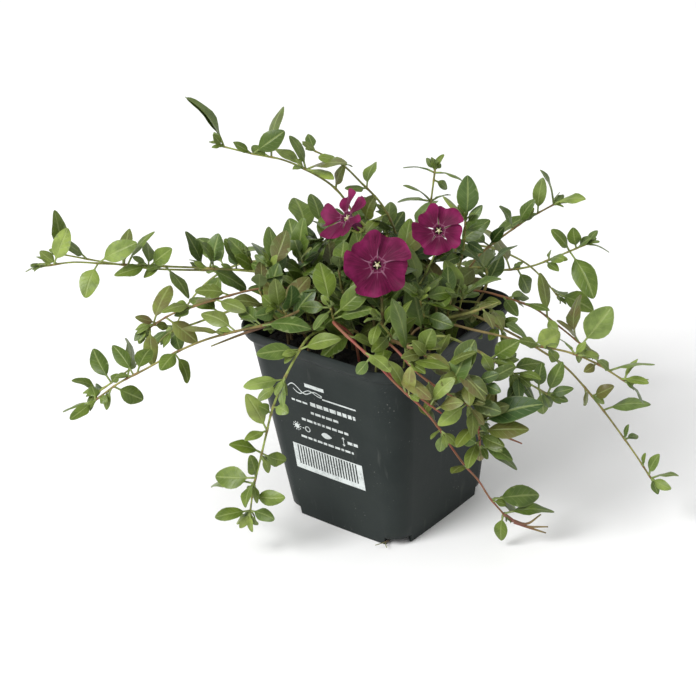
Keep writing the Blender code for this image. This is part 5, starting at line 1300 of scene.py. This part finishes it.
def add_calyx(name, shoot, material):
    """The green cup under a corolla and its five narrow teeth, each a tapering curved tube beside the
    corolla's tube."""
    middle, size, side, lift, out = bloom_seat(shoot)
    seat = middle - out * (TUBE_LENGTH * size + PETAL_THICKNESS / 2 + FIT_GAP)
    bodies = [turned_body(seat, side, lift, out, CALYX_PROFILE, 20)]
    t = np.linspace(0, 1, 7)[:, None]
    for way in five_ways(side, lift):
        line = seat + way * (2.15 + 0.35 * t + 1.0 * t**2) * MM
        line = line + out * (-0.5 * MM + (SEPAL_LENGTH + 0.6 * MM) * t)
        radius = np.array([0.62, 0.66, 0.6, 0.5, 0.38, 0.24, 0.06]) * MM
        bodies.append(closed_tube(rings_along(line, radius, 6)))
    piece = add_piece(name + "_calyx", merged(bodies), material)
    add_tint(piece, np.tile([0.9, 0.0, 0.08, 0.1], (len(piece.data.vertices), 1)), "POINT")


# Pot and soil

# The steps of each rounded corner, how far the walls bow out, and the middle of the sun sign in millimetres
CORNER_STEPS = 10
WALL_BOW = 0.35 * MM
SUN_PLACE = (-16.6, 50.4)


def pot_ring(half, corner, height):
    """One ring of the pot: a rounded square, with each straight side bowed out a little and an extra point
    beside each corner, where the foot's notches begin."""
    ring = rounded_square(half, corner, height, CORNER_STEPS).reshape(4, CORNER_STEPS + 1, 3)
    ends = np.roll(ring[:, 0], -1, axis=0)
    starts = ring[:, -1]
    t = np.array([0.004, 0.25, 0.5, 0.75, 0.996])[None, :, None]
    straight = starts[:, None] + (ends - starts)[:, None] * t
    middle = (ends + starts)[:, None] / 2 * [1, 1, 0]
    bow = WALL_BOW * np.sin(np.pi * t) * middle / np.linalg.norm(middle, axis=2, keepdims=True)
    return np.concatenate([ring, straight + bow], axis=1).reshape(-1, 3)


def pot_rings():
    """The pot's rings, from the pad under its middle, over the skirt's foot, up the wall, round the lip and
    down inside to its floor. Each row is a ring's half width, corner radius and height. At the corners the
    skirt's four rings are lifted to the notch's height."""
    lip_foot = POT_HEIGHT - LIP_HEIGHT
    inner_floor = FLOOR_LIFT + POT_WALL
    floor_half, floor_corner = pot_outline(FLOOR_LIFT)
    neck_half, neck_corner = pot_outline(lip_foot)
    rows = [
        (0.3 * MM, 0.2 * MM, 0),
        (FOOT_PAD_HALF - 0.5 * MM, FOOT_PAD_HALF * 0.85, 0),
        (FOOT_PAD_HALF, FOOT_PAD_HALF * 0.9, 0.3 * MM),
        (FOOT_PAD_HALF + 2 * MM, FOOT_PAD_HALF, FLOOR_LIFT),
        (floor_half - POT_WALL - 0.5 * MM, floor_corner - POT_WALL, FLOOR_LIFT),
        (POT_FOOT_HALF - POT_WALL + 0.3 * MM, FOOT_CORNER - POT_WALL, 1.5 * MM),
        (POT_FOOT_HALF - POT_WALL, FOOT_CORNER - POT_WALL, 0.15 * MM),
        (POT_FOOT_HALF - POT_WALL / 2, FOOT_CORNER - POT_WALL / 2, 0),
        (POT_FOOT_HALF, FOOT_CORNER, 0.25 * MM),
    ]
    skirt = slice(len(rows) - 4, len(rows))
    rows += [(*pot_outline(height * MM), height * MM) for height in (4.2, 10, 22, 38, 54, 70, 82)]
    rows += [
        (neck_half, neck_corner, lip_foot - 0.4 * MM),
        (neck_half + 0.3 * MM, neck_corner, lip_foot),
        (POT_NECK_HALF + 1.3 * MM, RIM_CORNER + 0.6 * MM, lip_foot + 1.2 * MM),
        (POT_NECK_HALF + 1.75 * MM, RIM_CORNER + 0.4 * MM, lip_foot + 2.2 * MM),
    ]
    lip = [(0.35, 0, 2), (0, 0, 0.9), (0.12, 0, 0.3), (0.5, 0.3, 0), (0.9, 0.6, 0.15)]
    for inset, less_round, drop in lip:
        rows.append((POT_RIM_HALF - inset * MM, RIM_CORNER - less_round * MM, POT_HEIGHT - drop * MM))
    rows += [
        (POT_RIM_HALF - POT_WALL - 0.1 * MM, RIM_CORNER - POT_WALL, POT_HEIGHT - 0.8 * MM),
        (POT_NECK_HALF + 1.6 * MM - POT_WALL, RIM_CORNER - 0.8 * MM, lip_foot + 2 * MM),
        (POT_NECK_HALF - POT_WALL, NECK_CORNER - POT_WALL, lip_foot - 0.5 * MM),
    ]
    for height in (74, 50, 24, 6):
        half, corner = pot_outline(height * MM)
        rows.append((half - POT_WALL, corner - POT_WALL, height * MM))
    rows += [
        (floor_half - POT_WALL - 0.6 * MM, floor_corner - POT_WALL, inner_floor),
        (FOOT_PAD_HALF, FOOT_PAD_HALF * 0.9, inner_floor),
        (0.3 * MM, 0.2 * MM, inner_floor),
    ]
    rings = np.array([pot_ring(*row) for row in rows])
    corners = np.tile(np.arange(CORNER_STEPS + 6) <= CORNER_STEPS, 4)
    rings[skirt, corners, 2] = np.maximum(rings[skirt, corners, 2], NOTCH_HEIGHT)
    return rings


def bored(piece, places, radius, low, high):
    """Cuts upright round holes through a piece, from the low to the high height."""
    angle = np.linspace(0, 2 * np.pi, 20, endpoint=False)
    circle = np.stack([np.cos(angle) * radius, np.sin(angle) * radius, 0 * angle], axis=1)
    bodies = [closed_tube(np.array([circle + (x, y, height) for height in (low, high)])) for x, y in places]
    mesh = new_mesh("drain_cutter", merged(bodies))
    cutter = add_object("drain_cutter", mesh)
    boolean = piece.modifiers.new("drains", "BOOLEAN")
    boolean.operation = "DIFFERENCE"
    boolean.object = cutter
    boolean.solver = "EXACT"
    shape = bpy.data.meshes.new_from_object(piece.evaluated_get(bpy.context.evaluated_depsgraph_get()))
    piece.modifiers.clear()
    old = piece.data
    piece.data = shape
    bpy.data.meshes.remove(old)
    bpy.data.objects.remove(cutter)
    bpy.data.meshes.remove(mesh)
    shape.shade_smooth()
    shape.set_sharp_from_angle(angle=math.radians(38))


def wall_place(x, z, proud):
    """A place on the pot's -Y side: the wall leans out with height, and bows out a little towards its
    middle."""
    half, corner = pot_outline(z)
    bow = WALL_BOW * np.cos(np.pi / 2 * np.clip(x / (half - corner), -1, 1))
    return np.stack([x, -(half + bow + proud), z], axis=-1)


def print_patch(x, z):
    """A thin film over a grid of places (rows, columns) on the pot's side, given in millimetres, from just
    inside the wall to just proud."""
    return film(wall_place(x * MM, z * MM, 0.06 * MM), wall_place(x * MM, z * MM, -0.08 * MM))


def bar(x0, x1, z0, z1):
    """A straight printed bar, split along its length so that it follows the bowed wall."""
    x, z = np.meshgrid(np.linspace(x0, x1, max(2, int(abs(x1 - x0) / 4) + 2)), np.array([z0, z1]))
    return print_patch(x, z)


def ring_mark(x0, z0, inner, outer):
    """A printed ring or, with an inner radius of nearly none, a disc. It is open by a hair, so it stays one
    strip."""
    angle = np.linspace(0, 2 * np.pi * 0.999, 28)
    radius = np.array([outer, inner])[:, None]
    return print_patch(x0 + radius * np.cos(angle), z0 + radius * np.sin(angle))


def wave_rule(x0, x1, z0, swing, turns, width):
    """A printed curl: a line whose height is a sine of its length, fading to nothing at its right end."""
    t = np.linspace(0, 1, 60)
    x = x0 + (x1 - x0) * t
    z = z0 + swing * np.sin(2 * np.pi * turns * t) * (1 - t) ** 0.5
    return print_patch(np.array([x, x]), np.array([z - width / 2, z + width / 2]))


def dash_row(x0, x1, z0, height, key):
    """A row of short plain dashes of uneven length, which stands in a printed line's place."""
    draw = random.Random(key)
    found, x = [], x0
    while x < x1 - 1:
        end = min(x1, x + draw.uniform(1.4, 3.4))
        found.append(bar(x, end, z0, z0 + height))
        x = end + 0.7
    return found


def printed_marks():
    """The plain generic print, in millimetres: a curl and a rule, rows of dashes, four simple signs and a
    block of even stripes."""
    marks = [wave_rule(-18, 1, 71, 2.2, 1.5, 0.5), wave_rule(-15, 1, 70.6, -1.9, 1.25, 0.4),
             bar(1, 19, 69.2, 69.9), bar(-8, 2.5, 73.4, 75.2)]
    for x0, x1, z0, height, key in (
        (-17, -8, 64, 0.9, "line 1"), (-6.5, 18, 64, 1.9, "line 1 bold"), (-7, 8, 59.6, 1.2, "line 2"),
        (-13, 13, 54.7, 1.2, "line 3"), (-15, 14, 45.2, 1.1, "line 4"),
    ):
        marks += dash_row(x0, x1, z0, height, key)
    marks.append(ring_mark(*SUN_PLACE, 0.05, 1.3))
    for k in range(10):
        angle = np.array([[2 * np.pi * k / 10 - 0.1, 2 * np.pi * k / 10 + 0.1]] * 2)
        radius = np.array([[2.3] * 2, [1.6] * 2])
        x, z = SUN_PLACE[0] + radius * np.cos(angle), SUN_PLACE[1] + radius * np.sin(angle)
        marks.append(print_patch(x, z))
    marks.append(bar(-13.4, -12.6, 50.2, 50.6))
    marks.append(ring_mark(-10.6, 50.4, 1.05, 1.5))
    t = np.linspace(0.02, 0.98, 16)
    leaf = 1.5 * np.sin(np.pi * t**0.8)
    marks.append(print_patch(np.array([-3 + 6 * t] * 2), np.array([50.2 - leaf, 50.2 + leaf])))
    marks.append(bar(9.15, 9.45, 48.8, 52))
    for tip, foot in ((52.8, 51.8), (48, 49)):
        x = np.array([[8.5, 10.1], [9.28, 9.32]])
        z = np.array([[foot, foot], [tip, tip]])
        marks.append(print_patch(x if tip > foot else x[::-1], z if tip > foot else z[::-1]))
    marks += dash_row(11.5, 18.5, 49.8, 1.5, "height")
    left, right, low, high = -21, 17.4, 27.2, 40.4
    inside, under_top = low + 2.6, high - 0.5
    marks += [bar(left, right, low, inside), bar(left, right, under_top, high),
              bar(left, left + 2.4, inside, under_top), bar(right - 2.4, right, inside, under_top)]
    stripes = 22
    pitch = (right - left - 4.8) / stripes
    for k in range(stripes):
        x = left + 2.4 + pitch * (k + 0.5)
        marks.append(bar(x, x + pitch * 0.5, inside, under_top))
    return marks


def soil_height(x, y):
    """The soil's top: the solid's three crossing waves, with clods and crumbs as shorter, lower waves on
    them."""
    wave = np.sin(210 * x + 90 * y) + np.sin(150 * y - 120 * x + 1) + np.sin(330 * x * y * 20 + 140 * x)
    clods = np.sin(900 * x + 3 * np.sin(700 * y)) * np.sin(1000 * y + 2 * np.sin(800 * x))
    crumbs = np.sin(2300 * x + 4 * np.sin(1900 * y + 1)) * np.sin(2500 * y + 3 * np.sin(2100 * x))
    return SOIL_TOP + SOIL_BUMP / 2 * wave + 0.5 * MM * clods + 0.3 * MM * crumbs


def soil_rings():
    """The soil as rings: up its side, then inwards over its uneven top."""
    floor = FLOOR_LIFT + POT_WALL + FIT_GAP
    inset = POT_WALL + 1.5 * FIT_GAP
    rows = []
    for height in (floor, floor + 20 * MM, SOIL_TOP - 30 * MM, SOIL_TOP - 2 * MM):
        half, corner = pot_outline(height)
        rows.append(rounded_square(half - inset, corner - inset, height, 24))
    half, corner = pot_outline(SOIL_TOP)
    for share in np.linspace(0.965, 0.02, 44):
        ring = rounded_square((half - inset) * share, (corner - inset) * share, 0, 24)
        ring[:, 2] = soil_height(ring[:, 0], ring[:, 1])
        rows.append(ring)
    rows.insert(0, rounded_square(0.5 * MM, 0.3 * MM, floor, 24))
    return np.array(rows)


def crumb_bodies(count, seed):
    """Loose crumbs and chips on the soil: eight-sided stones from a six-cornered body, each stretched,
    turned and rolled by its own random draw."""
    draw = np.random.default_rng(seed)
    base = np.array([(1, 0, 0), (-1, 0, 0), (0, 1, 0), (0, -1, 0), (0, 0, 1), (0, 0, -1)], float)
    faces = np.array([(0, 2, 4), (2, 1, 4), (1, 3, 4), (3, 0, 4), (2, 0, 5), (1, 2, 5), (3, 1, 5), (0, 3, 5)])
    half = pot_outline(SOIL_TOP)[0] - 4 * MM
    place = draw.uniform(-half, half, (count, 2))
    size = draw.gamma(3.0, 0.22, count)[:, None] * MM * draw.uniform(0.5, 1.5, (count, 3))
    size = np.clip(size, 0.25 * MM, 2.4 * MM)
    spin = np.linalg.qr(draw.normal(size=(count, 3, 3)))[0]
    spin *= np.sign(np.linalg.det(spin))[:, None, None]
    shape = base[None] * (1 + draw.uniform(-0.25, 0.25, (count, 6, 1)))
    points = np.einsum("nij,nkj->nki", spin, shape * size[:, None])
    points[..., :2] += place[:, None]
    points[..., 2] += soil_height(place[:, 0], place[:, 1])[:, None] + 0.15 * MM
    order = (faces[None] + np.arange(count)[:, None, None] * 6).reshape(-1, 3)
    return points.reshape(-1, 3), order.tolist()


def undergrowth_places():
    """Where the short shoots under the crown stand: random places on the soil, none near a solid stem or
    another."""
    draw = random.Random("undergrowth")
    taken = [route[0][:2] for route in first_routes().values()]
    found = []
    towards = turned(0, -1, 0)[:2]
    while len(found) < 30:
        spot = np.array([draw.uniform(-33, 33) * MM, draw.uniform(-33, 33) * MM])
        if min(np.linalg.norm(spot - other) for other in taken) > 3.2 * MM and spot @ towards < 20 * MM:
            taken.append(spot)
            found.append(spot)
    return found


def add_undergrowth(leaf_material, stem_material):
    """Short leafy shoots that fill the crown between the long stems: each leans outwards, with two or three
    pairs of leaves above the level of the lip."""
    leaves, tubes, tints = [], [], []
    for number, spot in enumerate(undergrowth_places()):
        draw = random.Random(f"undergrowth {number}")
        outward = np.array([*spot, 0]) / (45 * MM)
        tall = draw.uniform(12, 30) * MM
        top = np.array([*spot, POT_HEIGHT + tall]) + outward * draw.uniform(4, 14) * MM
        foot = np.array([*spot, SOIL_TOP - 6 * MM])
        middle = np.array([*spot, SOIL_TOP + 9 * MM])
        line = smooth_line(np.array([foot, middle, (middle + top) / 2 + outward * 2 * MM, top]), 2 * MM)
        total = along_line(line)[-1]
        pairs = draw.choice((2, 3, 3))
        joints = []
        for pair in range(pairs):
            distance = total - 1 * MM - (pairs - 1 - pair) * draw.uniform(7, 10) * MM
            place, way = place_on(line, distance)
            joints.append(place)
            for side in (-1, 1):
                key = f"undergrowth {number} {pair} {side}"
                length = draw.uniform(15, 21) * MM
                pose = leaf_pose("undergrowth", number * 7 + pair, side, 0, place, way, length, 0.3)
                if not hides_bloom(pose):
                    bronze = draw.uniform(0.2, 0.7) if draw.random() < 0.12 else 0
                    leaves.append(leaf_character(key, 0.12 + 0.25 * draw.random(), bronze, pose, np.zeros(3)))
        body, tint = stem_body(line, joints, (0.8, 0.5), (0.1, 0.9))
        tubes.append(body)
        tints.append(tint)
    piece = add_piece("undergrowth_stems", merged(tubes), stem_material)
    add_tint(piece, np.vstack(tints), "POINT")
    add_leaves("undergrowth_leaves", leaves, leaf_material)


# Settings

def colour_setting(name, description, default):
    return bpy.props.FloatVectorProperty(name=name, description=description, subtype="COLOR", size=3,
                                         min=0, max=1, default=default)


class PlantLook(bpy.types.PropertyGroup):
    """Colours of the leaves, stems and flowers"""
    # The dark, mid and light leaf colours also paint the shade and light on seen leaves, by how light each
    # looks.
    leaf_dark: colour_setting("Dark leaf", "Old leaves", (0.026, 0.058, 0.006))
    leaf_light: colour_setting("Light leaf", "Young leaves", (0.32, 0.41, 0.09))
    leaf_mid: colour_setting("Leaf", "Grown leaves", (0.13, 0.19, 0.022))
    leaf_cool: colour_setting("Cool leaf", "Leaves with a bluer bloom", (0.055, 0.11, 0.04))
    leaf_spot: colour_setting("Leaf spots", "Small dark spots", (0.02, 0.03, 0.008))
    leaf_bronze: colour_setting("Bronzed leaf", "Leaves flushed by cold", (0.16, 0.11, 0.045))
    leaf_vein: colour_setting("Leaf vein", "Midrib, side veins and margin", (0.3, 0.36, 0.12))
    leaf_underside: colour_setting("Leaf underside", "The matt back of a leaf", (0.2, 0.25, 0.1))
    stem_green: colour_setting("Green stem", "Young stems", (0.14, 0.16, 0.045))
    stem_brown: colour_setting("Brown stem", "Old stems", (0.14, 0.1, 0.06))
    stem_red: colour_setting("Red stem", "Joints and sunlit stems", (0.24, 0.042, 0.045))
    petal_wine: colour_setting("Petal", "Most of a petal", (0.105, 0.0045, 0.036))
    # Petal streaks also paints the shade in the throat.
    petal_streaks_and_throat_shade: colour_setting("Petal streaks", "Darker streaks and the throat", (0.032, 0.0015, 0.012))
    # Petal edge is a painted highlight on the outer half of the lobes.
    petal_painted_highlight: colour_setting("Petal edge", "Lighter outer part of a petal", (0.21, 0.012, 0.08))
    petal_back: colour_setting("Petal back", "The paler underside", (0.24, 0.04, 0.13))
    petal_star: colour_setting("Star", "Pale lines round the throat", (0.7, 0.36, 0.52))
    stigma_cream: colour_setting("Stigma", "The head in the throat", (0.62, 0.5, 0.42))


class PotLook(bpy.types.PropertyGroup):
    """Colours of the pot and the soil"""
    plastic: colour_setting("Plastic", "The pot's plastic", (0.017, 0.022, 0.021))
    plastic_worn: colour_setting("Worn plastic", "Where handling has dulled it", (0.03, 0.036, 0.034))
    dust: bpy.props.FloatProperty(name="Dust", description="How much dust lies on the pot", min=0, max=2,
                                  default=1.0)
    dust_colour: colour_setting("Dust colour", "Specks and scuffs", (0.2, 0.2, 0.185))
    print_white: colour_setting("Print", "The white print", (0.62, 0.66, 0.65))
    # The soil's near black is dark peat with painted shade under the crown.
    soil_peat_and_shade: colour_setting("Soil", "Moist peat", (0.004, 0.0035, 0.003))
    soil_brown: colour_setting("Soil crumbs", "Drier crumbs", (0.018, 0.012, 0.008))
    soil_fibre: colour_setting("Soil fibres", "Pale bits", (0.07, 0.05, 0.03))


class StageLook(bpy.types.PropertyGroup):
    """Floor and light"""
    floor: colour_setting("Floor", "The pale floor", (0.95, 0.95, 0.95))
    sky: bpy.props.FloatProperty(name="Sky", description="Strength of the even light", min=0, max=5,
                                 default=0.71)
    key: bpy.props.FloatProperty(name="Key light", description="Power of the large lamp", unit="POWER",
                                 min=0, max=200, default=80.0)
    fill: bpy.props.FloatProperty(name="Fill light", description="Power of the second lamp", unit="POWER",
                                  min=0, max=200, default=0.3)


def plan():
    """Each solid stem's line by its name, then each spare stem's."""
    lines = {name: smooth_line(route, TUBE_STEP) for name, route in ease_apart(first_routes()).items()}
    for name, seen in SPARE_STEMS.items():
        places = np.array([turned(*plan_place(*place)) for place in seen]) * MM
        lines[name] = smooth_line(places, TUBE_STEP)
    return lines


class PERIWINKLE_OT_pot(bpy.types.Operator):
    """Make the nursery pot"""
    bl_idname = "periwinkle.pot"
    bl_label = "Pot"

    def execute(self, context):
        material = new_material("pot_plastic", pot_skin, context.scene.periwinkle_pot)
        piece = add_piece("nursery_pot", closed_tube(pot_rings()), material, ("pot",), 38)
        reach = DRAIN_REACH * math.sqrt(0.5)
        spots = [(x, y) for x in (-reach, reach) for y in (-reach, reach)]
        bored(piece, spots, DRAIN_RADIUS, 1 * MM, 8 * MM)
        return {"FINISHED"}


class PERIWINKLE_OT_print(bpy.types.Operator):
    """Print plain rules, dashes, signs and stripes on the pot's side"""
    bl_idname = "periwinkle.print"
    bl_label = "Print"

    def execute(self, context):
        material = new_material("pot_print", print_skin, context.scene.periwinkle_pot)
        add_piece("pot_print", merged(printed_marks()), material, (), 30)
        return {"FINISHED"}


class PERIWINKLE_OT_soil(bpy.types.Operator):
    """Make the soil and the loose crumbs on it"""
    bl_idname = "periwinkle.soil"
    bl_label = "Soil"

    def execute(self, context):
        material = new_material("potting_soil", soil_skin, context.scene.periwinkle_pot)
        add_piece("peat", closed_tube(soil_rings()), material, ("soil",))
        add_piece("peat_crumbs", crumb_bodies(700, 5), material, (), 60)
        return {"FINISHED"}


class PERIWINKLE_OT_foliage(bpy.types.Operator):
    """Make every stem with its leaves, and the short shoots under them"""
    bl_idname = "periwinkle.foliage"
    bl_label = "Stems and leaves"

    def execute(self, context):
        look = context.scene.periwinkle_plant
        leaf_material = new_material("periwinkle_leaf", leaf_skin, look)
        stem_material = new_material("periwinkle_stem", stem_skin, look)
        for name, route in plan().items():
            dress_stem(name, route, leaf_material, stem_material)
        for bloom, shoot in FLOWER_SHOOTS.items():
            add_calyx(bloom, shoot, stem_material)
        add_undergrowth(leaf_material, stem_material)
        return {"FINISHED"}


class PERIWINKLE_OT_blooms(bpy.types.Operator):
    """Make the corollas and what stands in their throats"""
    bl_idname = "periwinkle.blooms"
    bl_label = "Blooms"

    def execute(self, context):
        look = context.scene.periwinkle_plant
        petals, cream = new_material("corolla", petal_skin, look), new_material("stigma", cream_skin, look)
        for bloom, shoot in FLOWER_SHOOTS.items():
            add_corolla(bloom, shoot, petals)
            add_stigma(bloom, shoot, cream)
        return {"FINISHED"}


def turn_object(obj, place, side, up, back):
    """Puts an object at a place, with its X, Y and Z along side, up and back."""
    matrix = np.eye(4)
    matrix[:3] = np.column_stack([side, up, back, place])
    obj.matrix_world = Matrix(matrix.tolist())


def add_lamp(name, power, size, place, target):
    """A round lamp that looks at the target."""
    lamp = bpy.data.lights.new(name, "AREA")
    lamp.energy = power
    lamp.shape = "DISK"
    lamp.size = size
    back = unit(place - target)
    side = unit(np.cross(UP, back))
    turn_object(add_object(name, lamp), place, side, np.cross(back, side), back)


def add_camera():
    """The photograph's camera, from the same values as the sight lines."""
    camera = bpy.data.cameras.new("photo_camera")
    camera.sensor_width = SENSOR_WIDTH
    camera.lens = SENSOR_WIDTH * FOCAL_DOTS / (2 * PICTURE_MIDDLE)
    camera.clip_start = 0.01
    obj = add_object("photo_camera", camera)
    turn_object(obj, CAMERA_EYE, CAMERA_RIGHT, CAMERA_UP, CAMERA_NEAR)
    bpy.context.scene.camera = obj


class PERIWINKLE_OT_stage(bpy.types.Operator):
    """Make the pale floor, the soft lights and the camera"""
    bl_idname = "periwinkle.stage"
    bl_label = "Stage"

    def execute(self, context):
        look = context.scene.periwinkle_stage
        material = new_material("pale_floor", floor_skin, look)
        corners = np.array([(-4, -4, 0), (4, -4, 0), (4, 4, 0), (-4, 4, 0)])
        mesh = new_mesh("floor", (corners, [(0, 1, 2, 3)]))
        mesh.materials.append(material)
        floor = add_object("floor", mesh)
        world = bpy.data.worlds.new("pale_room")
        world.use_nodes = True
        background = world.node_tree.nodes["Background"]
        background.inputs["Color"].default_value = (1, 1, 1, 1)
        background.inputs["Strength"].default_value = look.sky
        context.scene.world = world
        target = (0, 0, 0.09)
        add_lamp("key_lamp", look.key, 1.5, turned(-1.8, -1.3, 2.1), target)
        add_lamp("fill_lamp", look.fill, 0.9, turned(0.9, -0.5, 0.8), target)
        add_camera()
        context.scene.view_settings.view_transform = "Standard"
        return {"FINISHED"}


class PERIWINKLE_PT_panel(bpy.types.Panel):
    """The plant's pieces and settings"""
    bl_label = "Periwinkle"
    bl_space_type = "VIEW_3D"
    bl_region_type = "UI"
    bl_category = "Periwinkle"

    def draw(self, context):
        for operator in OPERATORS:
            self.layout.operator(operator.bl_idname)
        for group in ("periwinkle_plant", "periwinkle_pot", "periwinkle_stage"):
            look = getattr(context.scene, group)
            for setting in look.__annotations__:
                self.layout.prop(look, setting)


OPERATORS = (PERIWINKLE_OT_stage, PERIWINKLE_OT_pot, PERIWINKLE_OT_print, PERIWINKLE_OT_soil,
             PERIWINKLE_OT_foliage, PERIWINKLE_OT_blooms)
CLASSES = (PlantLook, PotLook, StageLook, *OPERATORS, PERIWINKLE_PT_panel)


def register():
    for part in CLASSES:
        bpy.utils.register_class(part)
    bpy.types.Scene.periwinkle_plant = bpy.props.PointerProperty(type=PlantLook)
    bpy.types.Scene.periwinkle_pot = bpy.props.PointerProperty(type=PotLook)
    bpy.types.Scene.periwinkle_stage = bpy.props.PointerProperty(type=StageLook)


def unregister():
    del bpy.types.Scene.periwinkle_plant, bpy.types.Scene.periwinkle_pot, bpy.types.Scene.periwinkle_stage
    for part in reversed(CLASSES):
        bpy.utils.unregister_class(part)


def main():
    register()
    bpy.ops.periwinkle.stage()
    bpy.ops.periwinkle.pot()
    bpy.ops.periwinkle.print()
    bpy.ops.periwinkle.soil()
    bpy.ops.periwinkle.foliage()
    bpy.ops.periwinkle.blooms()


if __name__ == "__main__":
    main()
